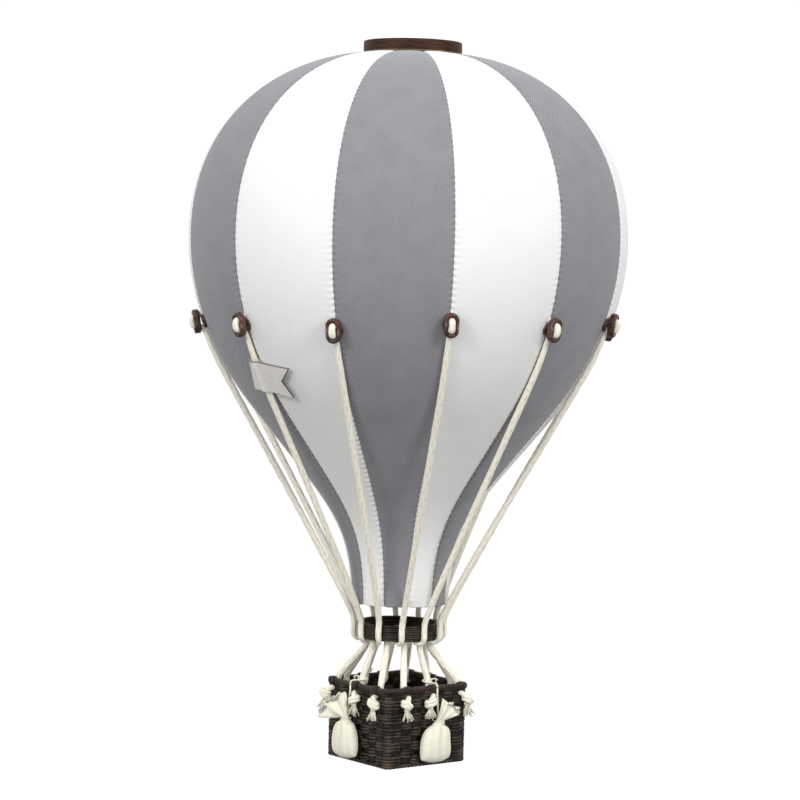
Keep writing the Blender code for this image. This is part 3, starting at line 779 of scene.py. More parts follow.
def gore_columns(half_width):
    """Return places across a gore, close together beside its seams."""
    near = np.array((0.0, 0.0004, 0.0009, 0.0015, 0.0024, 0.0036, 0.0054))
    middle = np.linspace(-1.0, 1.0, 14)[1:-1]
    widths = half_width[:, None]
    left = -widths + np.minimum(near[None, :], widths * 0.16 * np.arange(7) / 6)
    centre = middle[None, :] * -left[:, -1:]
    return np.concatenate([left, centre, -left[:, ::-1]], 1)


def gore_section():
    """Return a gore's section in rows: radius, height and the outward direction's two parts."""
    flat = np.linspace(GORE_TOP_RADIUS, ENVELOPE_KNOTS[0][1], 4)[:-1]
    radius, height, out_radius, out_height = OUTLINE.at(np.linspace(0.0, OUTLINE.total, 190))
    turn = np.linspace(0.0, math.pi, 9)[1:]
    hem_radius = radius[-1] - HEM_DEPTH / 2 * (1 - np.cos(turn))
    hem_height = height[-1] - HEM_DEPTH / 2 * np.sin(turn)
    inside = np.linspace(0.0008, 0.0060, 4)
    return (np.concatenate([flat, radius, hem_radius, np.full(4, hem_radius[-1])]),
            np.concatenate([np.full(3, height[0]), height, hem_height, hem_height[-1] + inside]),
            np.concatenate([np.zeros(3), out_radius, np.cos(turn), np.full(4, -1.0)]),
            np.concatenate([np.ones(3), out_height, -np.sin(turn), np.zeros(4)]))


def build_gores(paints):
    """Stretch twelve fabric gores over the form, each dipping into its seams."""
    radius, height, out, rise = gore_section()
    step = np.hypot(np.diff(radius), np.diff(height))
    v = np.concatenate([[0.0], np.cumsum(step)])
    half_width = radius * math.pi / GORE_COUNT
    across = gore_columns(half_width)
    distance = half_width[:, None] - np.abs(across)
    groove = (-SEAM_DEPTH * np.exp(-(distance / SEAM_HALF_WIDTH) ** 2)
              - 0.0003 * np.exp(-distance / 0.006))
    down = v[:, None]
    low = np.clip((v - 0.38) / 0.12, 0.0, 1.0)[:, None] ** 2
    ease = (distance / half_width[:, None]).clip(0.0, 1.0)
    uv = np.stack([across, np.broadcast_to(down, across.shape)], -1)
    for index in range(GORE_COUNT):
        phase = np.random.default_rng(100 + index).uniform(0.0, TAU, 6)
        crease = np.sin(across * 330 + phase[0] + 0.6 * np.sin(down * 26 + phase[1]))
        crease = 0.00045 * low * ease * crease
        soft = 0.00025 * np.sin(down * 48 + phase[2]) * np.sin(across * 60 + phase[3]) * ease
        stitch = 0.00012 * np.sin(down * TAU / STITCH + phase[4]) * np.exp(-distance / 0.003)
        raised = groove + crease + soft + stitch
        azimuth = seam_azimuth(index) + math.pi / GORE_COUNT + across / radius[:, None]
        points = polar(radius[:, None] + raised * out[:, None], azimuth,
                       height[:, None] + raised * rise[:, None])
        pile = Pile()
        pile.grid(points, uv, inside=(0.0, 0.0, -0.2))
        tone = "grey" if index % 2 else "white"
        cloth = pile.finish(f"gore_cloth_{index + 1:02d}", [paints[tone]],
                            replaces=[f"gore_{index + 1:02d}"])
        add_seam_uv(cloth, distance)


def add_seam_uv(item, distance):
    """Add a second UV map whose first coordinate is the distance from the seam."""
    mesh = item.data
    layer = mesh.uv_layers.new(name="seam")
    vertex = np.zeros(len(mesh.loops), np.int32)
    mesh.loops.foreach_get("vertex_index", vertex)
    values = np.zeros((len(mesh.loops), 2), np.float32)
    values[:, 0] = distance.ravel()[vertex]
    layer.data.foreach_set("uv", values.ravel())
    mesh.uv_layers.active_index = 0


def build_form(paints):
    """Make the form's moulded panels, which show inside the mouth."""
    radius, height, out_radius, out_height = OUTLINE.at(np.linspace(0.0, OUTLINE.total, 70))
    outer, inner = (np.stack([radius - out_radius * deep, height - out_height * deep], -1)
                    for deep in (FORM_INSET, FORM_INSET + FORM_THICKNESS))
    top = height[0] - FORM_INSET
    start = [(reach, top) for reach in (0.0010, 0.0150, GORE_TOP_RADIUS)]
    back = [(reach, top - FORM_THICKNESS) for reach in (GORE_TOP_RADIUS, 0.0150, 0.0010)]
    profile = np.vstack([start, outer[1:], inner[::-1][:-1], back])
    for index in range(FORM_PANELS):
        first = SEAM_TWIST + index * TAU / FORM_PANELS
        grid = lathe(profile, 20, first, first + TAU / FORM_PANELS)
        middle = polar(1.0, first + TAU / FORM_PANELS / 2, 0.0)
        side = grid - middle * (grid @ middle)[..., None]
        length = np.linalg.norm(side[..., :2], axis=-1)[..., None]
        edge = np.zeros(grid.shape[1])
        edge[0] = edge[-1] = 1.0
        grid = grid - side / np.maximum(length, 1e-6) * edge[None, :, None] * PANEL_GAP / 2
        loops = grid.transpose(1, 0, 2)
        pile = Pile()
        pile.grid(loops, grid_uv(loops, True), wrap=True)
        pile.finish(f"form_panel_{index + 1}", [paints["card"]],
                    replaces=[f"envelope_form_{index + 1}"])


def add_turned(name, grid, material, node, flat_uv=False):
    """Add a closed turned body, with its UVs round it and down it, or from above."""
    points = closed(grid.transpose(1, 0, 2))
    uv = swept_uv(points, slice(0, 1))
    if flat_uv:
        uv = np.concatenate([points[..., :2], points[:, :1, :2]], 1)
    pile = Pile()
    pile.grid(points, uv, wrap=True)
    pile.finish(name, [material], replaces=[node])


def build_crown(paints):
    """Make the crown ring, its disc and the brass screw eye."""
    corners = ((CROWN_INNER, 0.0), (CROWN_OUTER - 0.0002, 0.0), (CROWN_OUTER, -CROWN_HEIGHT / 2),
               (CROWN_OUTER - 0.0002, -CROWN_HEIGHT), (CROWN_INNER, -CROWN_HEIGHT))
    ring = lathe(rounded_profile(corners, 0.0007, 5), 144)
    add_turned("crown_ring_wood", ring, paints["crown"], "crown_ring")
    edge = CROWN_INNER - GAP
    hole = EYE_SHANK + GAP
    corners = ((hole, DISC_TOP), (edge / 2, DISC_TOP), (edge, DISC_TOP), (edge, DISC_BOTTOM),
               (edge / 2, DISC_BOTTOM), (hole, DISC_BOTTOM))
    disc = lathe(rounded_profile(corners, 0.0004, 3), 96)
    add_turned("crown_disc_wood", disc, paints["disc"], "crown_disc", flat_uv=True)
    centre = EYE_WIRE - EYE_RADIUS
    angle = np.linspace(-math.pi / 2 + 0.24, 1.5 * math.pi, 64)
    loop = np.stack([EYE_RADIUS * np.cos(angle), 0 * angle,
                     centre + EYE_RADIUS * np.sin(angle)], -1)
    pile = Pile()
    pile.tube(loop, EYE_WIRE, 12)
    shank_top = centre - EYE_RADIUS
    height = np.linspace(shank_top, DISC_BOTTOM, 40)
    wave = 0.5 + 0.5 * np.sin((height - shank_top) * TAU / THREAD_PITCH)
    pile.tube(np.stack([0 * height, 0 * height, height], -1), EYE_SHANK * (1.0 - 0.10 * wave), 16)
    corners = ((0.0001, shank_top + 0.0003), (0.0013, shank_top), (0.0013, shank_top - 0.0007),
               (0.0001, shank_top - 0.0008))
    collar = lathe(rounded_profile(corners, 0.0002, 3), 24)
    pile.grid(collar, grid_uv(collar, True), wrap=True)
    pile.finish("eye_brass", [paints["brass"]], replaces=["hanging_eye"])


def stadium(width, height):
    """Return a slot shape with round ends at even angles round its two arcs."""
    angle = np.linspace(0.0, math.pi, 15) + 1e-9
    radius = width / 2
    straight = height / 2 - radius
    centre = np.where(np.sin(angle) >= 0, straight, -straight)
    half = np.stack([radius * np.cos(angle), centre + radius * np.sin(angle)], -1)
    return np.vstack([half, -half])


def toggle_matrix(index):
    """Return a toggle's placement, as in the CAD source."""
    azimuth, height = seam_azimuth(index), TOGGLE_HEIGHTS[index]
    reach = float(OUTLINE.at_height(height)[0]) + TOGGLE_OFF_SKIN
    turn = Matrix.Rotation(azimuth + math.pi / 2, 4, "Z")
    tilt = Matrix.Rotation(math.pi / 2 + TOGGLE_TILT, 4, "X")
    return np.array(Matrix.Translation(Vector(polar(reach, azimuth, height))) @ (turn @ tilt))


def build_toggles(paints):
    """Make the slotted wooden toggles with rounded, rubbed-smooth edges, and the washers behind
    them.
    """
    outer, inner = stadium(*TOGGLE_SIZE), stadium(*TOGGLE_SLOT)
    middle, half = (outer + inner) / 2, (outer - inner) / 2
    section = np.arange(28) * TAU / 28
    along, rise = (signed_power(wave(section), 2.0 / 3.4) for wave in (np.cos, np.sin))
    flat = middle[:, None] + half[:, None] * along[None, :, None]
    depth = np.broadcast_to(rise * TOGGLE_THICKNESS / 2, flat.shape[:2])
    local = closed(np.concatenate([flat, depth[..., None]], -1))
    uv = np.concatenate([local[:, :, 1:2], local[:, :, 0:1] + local[:, :, 2:3]], -1)
    uv = np.concatenate([uv, uv[:, :1]], 1)
    for index in range(GORE_COUNT):
        matrix = toggle_matrix(index)
        pile = Pile()
        pile.grid(local @ matrix[:3, :3].T + matrix[:3, 3], uv + index * 0.037, wrap=True)
        pile.finish(f"toggle_wood_{index + 1:02d}", [paints["toggle"]],
                    replaces=[f"toggle_{index + 1:02d}"])
        build_washer(index, paints)


def build_washer(index, paints):
    """Lay a small wooden washer on the seam behind a toggle."""
    azimuth = seam_azimuth(index)
    radius, height, out_radius, out_height = OUTLINE.at_height(TOGGLE_HEIGHTS[index] + 0.0005)
    outward = polar(out_radius, azimuth, out_height)
    across = polar(1.0, azimuth + math.pi / 2, 0.0)
    corners = ((WASHER_HOLE, 0.0), (WASHER_RADIUS, 0.0), (WASHER_RADIUS, WASHER_THICKNESS),
               (WASHER_HOLE, WASHER_THICKNESS))
    grid = lathe(rounded_profile(corners, 0.00055, 4), 40)
    basis = np.stack([across, np.cross(outward, across), outward])
    points = grid @ basis + polar(radius, azimuth, height) - outward * 0.0002
    points = closed(points.transpose(1, 0, 2))
    pile = Pile()
    pile.grid(points, grid_uv(points, True), wrap=True)
    pile.finish(f"washer_wood_{index + 1:02d}", [paints["toggle"]])


def toggle_route(index):
    """Return the stay's places from the fabric through the slot, round and back, then down."""
    azimuth = seam_azimuth(index)
    middle = TOGGLE_HEIGHTS[index]
    centre = float(OUTLINE.at_height(middle)[0]) + TOGGLE_OFF_SKIN
    outward = (math.cos(TOGGLE_TILT), -math.sin(TOGGLE_TILT))
    upward = (math.sin(TOGGLE_TILT), math.cos(TOGGLE_TILT))
    # Columns: distance out from the toggle's centre, distance up its face, radius factor
    table = (
        (-0.0064, 0.0028, 0.80),
        (-0.0046, 0.0050, 0.88),
        (-0.0028, 0.0046, 0.88),
        (0.0002, 0.0032, 1.00),
        (0.0022, 0.0025, 1.06),
        (0.0028, 0.0000, 1.08),
        (0.0022, -0.0026, 1.06),
        (0.0004, -0.0033, 1.00),
        (-0.0022, -0.0038, 0.88),
        (-0.0038, -0.0052, 0.78),
    )
    rows = []
    for out, up, factor in table:
        radius = centre + out * outward[0] + up * upward[0]
        height = middle + out * outward[1] + up * upward[1]
        rows.append((*polar(radius, azimuth, height), factor))
    for height, factor in ((middle - 0.0082, 0.80), (middle - 0.0130, 0.86),
                           (middle - 0.0210, 0.95), (STAY_LEAVES_SKIN, 1.0)):
        rows.append((*polar(beside_skin(height, STAY_RADIUS * factor), azimuth, height), factor))
    return rows


def hitch_route(azimuth):
    """Return the stay's places down over the load ring, under it, up inside and down again."""
    outside = RING_OUTER + GAP + STAY_RADIUS
    inside = RING_INNER - GAP * 2 - STAY_RADIUS
    under = RING_BOTTOM - STAY_RADIUS * 0.62
    up = azimuth + HITCH_UP
    down = azimuth + HITCH_DOWN
    # Columns: radius, direction, height, radius factor
    table = (
        (outside + 0.0004, azimuth - HITCH_UP * 0.10, RING_TOP + 0.0030, 1.0),
        (outside, azimuth, RING_TOP - 0.0015, 1.0),
        (outside, azimuth, RING_BOTTOM + 0.0026, 0.96),
        (outside - 0.0008, azimuth, RING_BOTTOM + 0.0006, 0.86),
        (outside - 0.0026, azimuth + HITCH_UP * 0.2, under, 0.76),
        (inside + 0.0028, azimuth + HITCH_UP * 0.7, under, 0.76),
        (inside + 0.0008, up, RING_BOTTOM + 0.0006, 0.86),
        (inside, up, RING_BOTTOM + 0.0026, 0.96),
        (inside, up * 0.95 + down * 0.05, RING_TOP - 0.0096, 1.0),
        (inside, up * 0.75 + down * 0.25, RING_TOP - 0.0085, 1.0),
        (inside, (up + down) / 2, RING_TOP - 0.0081, 1.0),
        (inside, up * 0.25 + down * 0.75, RING_TOP - 0.0085, 1.0),
        (inside, up * 0.05 + down * 0.95, RING_TOP - 0.0096, 1.0),
        (inside, down, RING_BOTTOM - 0.0054, 1.0),
    )
    return [(*polar(*row[:3]), row[3]) for row in table]


def lower_stay(index):
    """Return the two ends of a stay's straight run from the load ring to the basket rim."""
    face, along, _, _, _ = STAY_ENDS[index]
    upper = np.array(hitch_route(ring_azimuth(index))[-1][:3])
    return upper, face_point(face, STAY_INSIDE, along, RIM_TOP)


def through_route(index):
    """Return the stay's places inside the rim, out through the wall and down inside its knot."""
    face, along, knot, _, _ = STAY_ENDS[index]
    # Columns: distance out, height, share of the sideways shift, radius factor
    table = (
        (STAY_INSIDE, 0.0003, 0.0, 1.00),
        (STAY_INSIDE + 0.0010, -0.0016, 0.0, 0.90),
        (STAY_INSIDE + 0.0028, -0.0025, 0.0, 0.88),
        (WALL_OUTER + 0.0010, -0.0027, 0.0, 0.88),
        (WALL_OUTER + 0.0026, -0.0036, 0.4, 0.84),
        (WALL_OUTER + 0.0036, -0.0060, 1.0, 0.84),
        (WALL_OUTER + 0.0038, -0.0086, 1.0, 0.80),
        (WALL_OUTER + 0.0040, -0.0112, 1.0, 0.84),
    )
    return [(*face_point(face, out, along + (knot - along) * share, RIM_BOTTOM + height), factor)
            for out, height, share, factor in table]


def cord_ripple(seed):
    """Return a slight unevenness of a cord's radius."""
    phase = np.random.default_rng(seed).uniform(0.0, TAU, 3)

    def ripple(angle, length):
        return (1.0 + 0.018 * np.sin(length * TAU / 0.0053 + phase[0])
                + 0.015 * np.sin(length * TAU / 0.0131 + phase[1])
                + 0.030 * np.cos(2 * angle + length * 90 + phase[2]))

    return ripple


def build_stays(paints):
    """Make the twelve stays, each one cord from its washer to its knot and tassel."""
    for index in range(GORE_COUNT):
        upper, lower = lower_stay(index)
        rows = toggle_route(index) + hitch_route(ring_azimuth(index))
        rows += [(*(upper * 0.55 + lower * 0.45), 1.10), (*lower, 1.04)] + through_route(index)
        path = smooth_path(rows, 0.0009)
        pile = Pile()
        pile.tube(path[:, :3], STAY_RADIUS * path[:, 3], 14, ripple=cord_ripple(index))
        add_knot(pile, index)
        add_tassel(pile, index)
        number = f"{index + 1:02d}"
        pile.finish(f"stay_cord_{number}", [paints["cord"], paints["twine"]],
                    replaces=[f"stay_{number}"])


def knot_place(index):
    """Return the middle of a stay's knot and the directions along and out there."""
    face, _, middle, _, _ = STAY_ENDS[index]
    place = face_point(face, WALL_OUTER + 0.0040, middle, RIM_BOTTOM - 0.0066)
    return place, face_run(face), FACE_NORMALS[face]


def add_knot(pile, index):
    """Wind the end of a stay round itself, as an overhand knot pulled tight shows."""
    place, across, outward = knot_place(index)
    rng = np.random.default_rng(300 + index)
    hand = 1.0 if index % 2 else -1.0
    share = np.linspace(0.0, 1.0, 70)
    angle = rng.uniform(-0.6, 0.6) + hand * share * KNOT_TURNS * TAU
    ends = np.clip(np.minimum(share, 1.0 - share) / 0.12, 0.0, 1.0)
    reach = 0.0011 + 0.0015 * np.sin(ends * math.pi / 2)
    tilt = rng.uniform(0.25, 0.5) * hand
    side = reach * 1.12 * np.cos(angle)
    rise = 0.0030 * (0.5 - share) * 1.30 + side * tilt
    path = (place + side[:, None] * across + (reach * np.sin(angle))[:, None] * outward
            + rise[:, None] * UP)
    pile.tube(path, KNOT_CORD, 12, ripple=cord_ripple(40 + index))


def add_tassel(pile, index):
    """Fray the end of a stay into yarns below its knot."""
    place, across, outward = knot_place(index)
    rng = np.random.default_rng(500 + index)
    start = place - UP * 0.0040
    lean = rng.uniform(-0.45, 0.25)
    share = np.linspace(0.0, 1.0, 7)[:, None]
    for _ in range(TASSEL_YARNS):
        spread = rng.uniform(-1.0, 1.0)
        forward = rng.uniform(-0.15, 1.0)
        length = rng.uniform(0.0040, 0.0084)
        way = unit(-UP + across * (spread * 0.62 + lean) + outward * (forward * 0.40))
        bend = across * rng.uniform(-0.45, 0.45) + outward * rng.uniform(-0.1, 0.35)
        root = start + across * spread * 0.0013 + outward * forward * 0.0006
        path = root + way * length * share + bend * length * 0.4 * share**2
        pile.tube(path, rng.uniform(0.00024, 0.00044) * np.linspace(1.0, 0.75, 7), 5, slot=1)


def build_load_ring(paints):
    """Coil cane into the load ring: turns one above another, outside and inside."""
    pile = Pile()
    rng = np.random.default_rng(7)
    pitch = (RING_TOP - RING_BOTTOM) / RING_TURNS
    angle = np.linspace(0.0, TAU, 133)[:-1]
    for radius in (RING_OUTER - RING_CANE, RING_INNER + RING_CANE):
        for turn in range(RING_TURNS):
            phase = rng.uniform(0.0, TAU, 2)
            height = RING_TOP - (turn + 0.5) * pitch + 0.00012 * np.sin(3 * angle + phase[0])
            reach = radius + 0.00010 * np.sin(5 * angle + phase[1])
            path = closed(polar(reach, angle, height))
            pile.ring(path, 1.0, 8, up=UP, shape=(0.00085, pitch * 0.53))
    pile.finish("load_ring_cane", [paints["reed"]], replaces=["load_ring"])


class SquarePath:
    """A square path with round corners, by the length along it from the middle of the +X face."""

    def __init__(self, half, corner):
        self.half = half
        self.corner = corner
        self.straight = 2 * (half - corner)
        self.arc = corner * math.pi / 2
        self.side = self.straight + self.arc
        self.total = 4 * (self.straight + self.arc)

    def steps(self, count):
        """Return even steps along the path."""
        return np.arange(count) * self.total / count

    def at(self, length):
        """Return places and outward directions in the XY plane."""
        local = (np.asarray(length) + self.straight / 2) % self.total
        quarter = np.floor(local / self.side)
        local = local - quarter * self.side
        turn = np.clip(local - self.straight, 0.0, self.arc) / self.corner
        y = np.minimum(local, self.straight) - self.straight / 2 + self.corner * np.sin(turn)
        x = self.half - self.corner * (1 - np.cos(turn))
        spin = quarter * math.pi / 2
        place = np.stack([x * np.cos(spin) - y * np.sin(spin),
                          x * np.sin(spin) + y * np.cos(spin)], -1)
        return place, np.stack([np.cos(turn + spin), np.sin(turn + spin)], -1)

    def length_of(self, face, along):
        """Return the length at a place along a face."""
        quarter, way = {"+X": (0, 1), "+Y": (1, -1), "-X": (2, -1), "-Y": (3, 1)}[face]
        return (quarter * self.side + way * along) % self.total


def loop_tube(pile, square, offset, height, shape, sides=7, radius=1.0):
    """Add a closed reed along a square path, by arrays of offset outwards and height."""
    place, outward = square.at(square.steps(len(offset)))
    path = np.concatenate([place + outward * offset[:, None], height[:, None]], -1)
    radius = np.broadcast_to(radius, offset.shape)
    path, radius = (np.concatenate([row[-1:], row, row[:2]]) for row in (path, radius))
    pile.ring(path, radius, sides, trim=(1, 1), up=UP, shape=shape)


def stake_places(square):
    """Return the stakes' lengths along the wall, corner posts included, and which are posts."""
    places = []
    first = -(STAKES_TO_A_FACE - 1) / 2 * STAKE_PITCH
    for quarter in range(4):
        for stake in range(STAKES_TO_A_FACE):
            places.append((quarter * square.side + first + stake * STAKE_PITCH, False))
        places.append((quarter * square.side + square.side / 2, True))
    return places


def weave_offset(square, places, parity, lengths):
    """Return a weaver's side of the wall along it, from -1 inside to 1 outside."""
    values = [POST_SIDE if post else (1.0 if (index + parity) % 2 else -1.0)
              for index, (_, post) in enumerate(places)]
    knots = np.array([p for p, _ in places])
    knots = np.concatenate([[knots[-1] - square.total], knots, [knots[0] + square.total]])
    values = np.array([values[-1], *values, values[0]])
    local = (lengths - knots[1]) % square.total + knots[1]
    index = np.clip(np.searchsorted(knots, local, side="right") - 1, 0, len(knots) - 2)
    share = (local - knots[index]) / (knots[index + 1] - knots[index])
    share = np.clip((share - 0.5) * 1.7 + 0.5, 0.0, 1.0)
    smooth = share * share * (3 - 2 * share)
    value = values[index] + (values[index + 1] - values[index]) * smooth
    same = values[index] == values[index + 1]
    return value * np.where(same, 1.0 - 0.35 * np.sin(math.pi * share) ** 2, 1.0)


def open_for_stays(square, lengths, height):
    """Return a reed's heights moved aside where the stays pass through the wall."""
    for face, along, _, _, _ in STAY_ENDS:
        place = square.length_of(face, along)
        near = (lengths - place + square.total / 2) % square.total - square.total / 2
        gap = np.exp(-(near / 0.0030) ** 2)
        away = np.clip(1.0 - np.abs(height - STAY_THROUGH_WALL) / 0.0052, 0.0, 1.0)
        height = height + np.sign(height - STAY_THROUGH_WALL + 1e-6) * gap * away * 0.0019
    return height


def add_stake(pile, spot, outward, drift, sides, halves, slot):
    """Add an upright of the wall at a place of the square path."""
    height = np.linspace(STAKE_TOP, STAKE_BOTTOM, 22)
    sway = drift(height)
    path = np.stack([spot[0] + sway, spot[1] - sway, height], -1)
    pile.tube(path, 1.0, sides, slot=slot, up=np.array((*outward, 0.0)), shape=halves)


def build_basket_wall(paints):
    """Weave rows of reeds, three to a row, in front of and behind the stakes by turns."""
    square = SquarePath(WALL_MIDDLE, 0.0018)
    places = stake_places(square)
    pile = Pile()
    rng = np.random.default_rng(11)
    top = RIM_BOTTOM + 0.0003
    pitch = (top - BASKET_BOTTOM - 0.0030) / ROW_COUNT
    reed_pitch = pitch / REEDS_TO_A_ROW
    lengths = square.steps(240)
    for row in range(ROW_COUNT):
        value = weave_offset(square, places, row % 2, lengths)
        for reed in range(REEDS_TO_A_ROW):
            order = reed - (REEDS_TO_A_ROW - 1) / 2
            phase = rng.uniform(0.0, TAU, 4)
            wobble = (0.00013 * np.sin(lengths * 160 + phase[0])
                      + 0.0001 * np.sin(lengths * 60 + phase[1]))
            middle = top - (row + 0.5) * pitch
            height = middle - order * (reed_pitch * (1.0 + 0.37 * value)) + wobble
            height = open_for_stays(square, lengths, height)
            bulge = 1.0 - 0.10 * abs(order)
            offset = WEAVE_DEPTH * value * bulge + 0.0001 * np.sin(lengths * 210 + phase[2])
            shape = (REED_HALF_THICKNESS + rng.uniform(-0.00004, 0.00004), reed_pitch * 0.54)
            loop_tube(pile, square, offset, height, shape, radius=1.0 + 0.30 * value)
    # Stakes take the darker stake paint, which is painted shade; corner posts keep the reed's own
    # colour
    for place, post in places:
        (spot,), (outward,) = square.at(np.array([place]))
        if post:
            spot = spot - outward * 0.0004
        add_stake(pile, spot, outward, lambda height: 0.0001 * np.sin(height * 300 + place * 900),
                  12, POST_HALVES if post else STAKE_HALVES, 0 if post else 1)
    # Dark strips midway between the stakes, in the darker stake paint: painted shade filling the
    # weave's gaps
    for place, _ in places:
        (spot,), (outward,) = square.at(np.array([place + STAKE_PITCH / 2]))
        add_stake(pile, spot, outward, np.zeros_like, 8, DARK_FILLER_HALVES, 1)
    pile.finish("basket_weave", [paints["reed"], paints["stake"]],
                replaces=["basket_wall"])


def build_rim(paints):
    """Lay the smooth rim hoop and lash it to the wall under each stay."""
    pile = Pile()
    square = SquarePath((RIM_OUTER + RIM_INNER) / 2, 0.0024)
    lengths = square.steps(240)
    level = RIM_TOP - RIM_HEIGHT / 2
    turn = np.arange(28) * TAU / 28
    along = signed_power(np.cos(turn), 0.62) * ((RIM_OUTER - RIM_INNER) / 2 - 0.0003)
    rise = signed_power(np.sin(turn), 0.62) * (RIM_HEIGHT / 2 - 0.0002)
    place, outward = square.at(lengths)
    sway = 0.00012 * np.sin(lengths * 75) + 0.00008 * np.sin(lengths * 190 + 1.0)
    ridge = 1.0 + 0.035 * np.cos(5 * turn[None, :] + 1.3 * np.sin(lengths * 23)[:, None])
    flat = place[:, None] + outward[:, None] * (along[None, :] * ridge)[..., None]
    height = level + sway[:, None] + rise[None, :] * ridge
    grid = closed(np.concatenate([flat, height[..., None]], -1))
    pile.grid(grid, swept_uv(grid, slice(-1, None)), wrap=True, slot=1)
    rng = np.random.default_rng(23)
    for face, place_along, _, _, _ in STAY_ENDS:
        add_lashing(pile, face, place_along, level, rng)
    pile.finish("basket_rim_reeds", [paints["reed"], paints["rim"]],
                replaces=["basket_rim"])


def add_lashing(pile, face, along, level, rng):
    """Wind turns of thin reed round the rim at one place."""
    across, outward = face_run(face), FACE_NORMALS[face]
    middle = face_point(face, (RIM_OUTER + RIM_INNER) / 2, along, level)
    turn = np.linspace(0.0, TAU, 33)
    depth = signed_power(np.cos(turn), 0.55) * (RIM_OUTER - RIM_INNER) / 2
    rise = signed_power(np.sin(turn), 0.55) * (RIM_HEIGHT / 2 + 0.0001)
    for index in range(LASHING_TURNS):
        side = ((index - (LASHING_TURNS - 1) / 2) * LASHING_PITCH + rng.uniform(-0.00008, 0.00008)
                + 0.0002 * np.sin(turn))
        path = middle + depth[:, None] * outward + rise[:, None] * UP + side[:, None] * across
        pile.ring(np.vstack([path, path[1:2]]), LASHING_REED, 7, trim=(0, 1))


def build_floor(paints):
    """Weave the floor of flat reeds and bind its edge with a double border."""
    pile = Pile()
    half = WALL_MIDDLE - 0.0004
    pitch = 2 * half / FLOOR_STRIPS
    level = BASKET_BOTTOM + FLOOR_THICKNESS / 2
    run = np.linspace(-half, half, 85)
    wave = np.cos((run + half) / pitch * math.pi - math.pi / 2)
    for way in (0, 1):
        for strip in range(FLOOR_STRIPS):
            centre = -half + (strip + 0.5) * pitch
            sign = 1.0 if (strip + way) % 2 else -1.0
            path = np.stack([run, 0 * run + centre, level + sign * STRIP_LIFT * wave], -1)
            if way:
                path = path[:, [1, 0, 2]]
            pile.tube(path, 1.0, 8, up=UP, shape=(pitch * 0.47, STRIP_HALF_THICKNESS))
    square = SquarePath(WALL_OUTER - 0.0009, 0.0022)
    for turn in range(2):
        angle = square.steps(190) * TAU / BORDER_PITCH + math.pi * turn
        height = BASKET_BOTTOM + 0.00165 + 0.00040 * np.sin(angle)
        loop_tube(pile, square, 0.00035 * np.cos(angle), height, (0.00105, 0.00120), sides=9)
    pile.finish("basket_floor_weave", [paints["reed"]], replaces=["basket_floor"])


def bag_face(number):
    """Return the basket face, the place of the string and the stay's index for a sandbag."""
    index = [bag for _, _, _, bag, _ in STAY_ENDS].index(number)
    return STAY_ENDS[index][0], STAY_ENDS[index][4], index


def twine_ripple(angle, length):
    """Return the two lobes of a two-ply twine."""
    return 0.82 + 0.18 * np.abs(np.cos(angle - length * TAU / TWINE_LAY))


def bag_collar(number, angle, phase):
    """Return the sections of a bag's fanned collar, from its ragged edge down to the neck."""
    face, middle, _ = bag_face(number)
    across, outward = face_run(face), FACE_NORMALS[face]
    neck = face_point(face, NECK_OUT, middle, NECK_HEIGHT)
    first, last, length = COLLARS[number]
    fan_side = unit(across * 0.80 + outward * 0.60)
    fan_front = np.cross(fan_side, UP)
    fan_front = fan_front * np.sign(fan_front @ outward)
    spread = (1.0 - np.cos(angle)) / 2
    fan = first + (last - first) * spread
    ray = np.cos(fan)[:, None] * UP + np.sin(fan)[:, None] * fan_side
    ragged = 1.0 + 0.07 * np.sin(spread * 17 + phase[0]) + 0.05 * np.sin(spread * 41 + phase[1])
    sections = []
    for share in np.linspace(1.0, 0.0, 26)[:-1]:
        reach = length * share * (1.0 + (ragged - 1.0) * share)
        pleat = (0.0008 * share * np.sin(spread * 16 + phase[2])
                 + 0.0011 * share * np.sin(spread * 7 + phase[5]))
        puff = (0.0016 * math.sin(math.pi * min(1.0, share * 1.15))
                * (0.7 + 0.3 * np.cos(spread * 11 + phase[4])))
        thick = (0.0026 * (1.0 - share) ** 1.5 + 0.00045 + puff) * np.sin(angle)
        waist = (1.0 - share) ** 2 * 0.0032 * (2 * spread - 1.0)
        sections.append(neck + reach[:, None] * ray + (pleat + thick)[:, None] * fan_front
                        + waist[:, None] * across + (0.0020 * share) * outward)
    return sections


def bag_body(number, angle, phase):
    """Return the sections of a bag's full body, from the neck down."""
    face, middle, _ = bag_face(number)
    across, outward = face_run(face), FACE_NORMALS[face]
    c, s = np.cos(angle), np.sin(angle)
    sections = []
    for out, half_width, height, half_depth in smooth_path(
            np.array(BAG_BODY)[:, [1, 2, 0, 3]], 0.0006):
        below = NECK_HEIGHT - height
        full = 2.0 / (2.0 + 0.5 * min(1.0, below / 0.012))
        side = -half_width * signed_power(c, full)
        depth = half_depth * signed_power(s, full)
        fold = 1.0 + 0.20 * math.exp(-below / 0.0035) * np.cos(9 * angle + phase[3])
        crease = 0.00035 * np.sin(side * 900 + phase[4]) * min(1.0, below / 0.006)
        seam = -0.0006 * np.exp(-(side / 0.0007) ** 2) * min(1.0, below / 0.003)
        depth = depth * fold + np.sign(s) * (crease + seam) * np.abs(s)
        sag = (-0.0022 * (1 - (side / max(half_width, 1e-6)) ** 2)
               * max(0.0, (below - 0.019) / 0.0065))
        sections.append(face_point(face, out, middle, height) + side[:, None] * across
                        + depth[:, None] * outward + sag[:, None] * UP)
    return sections


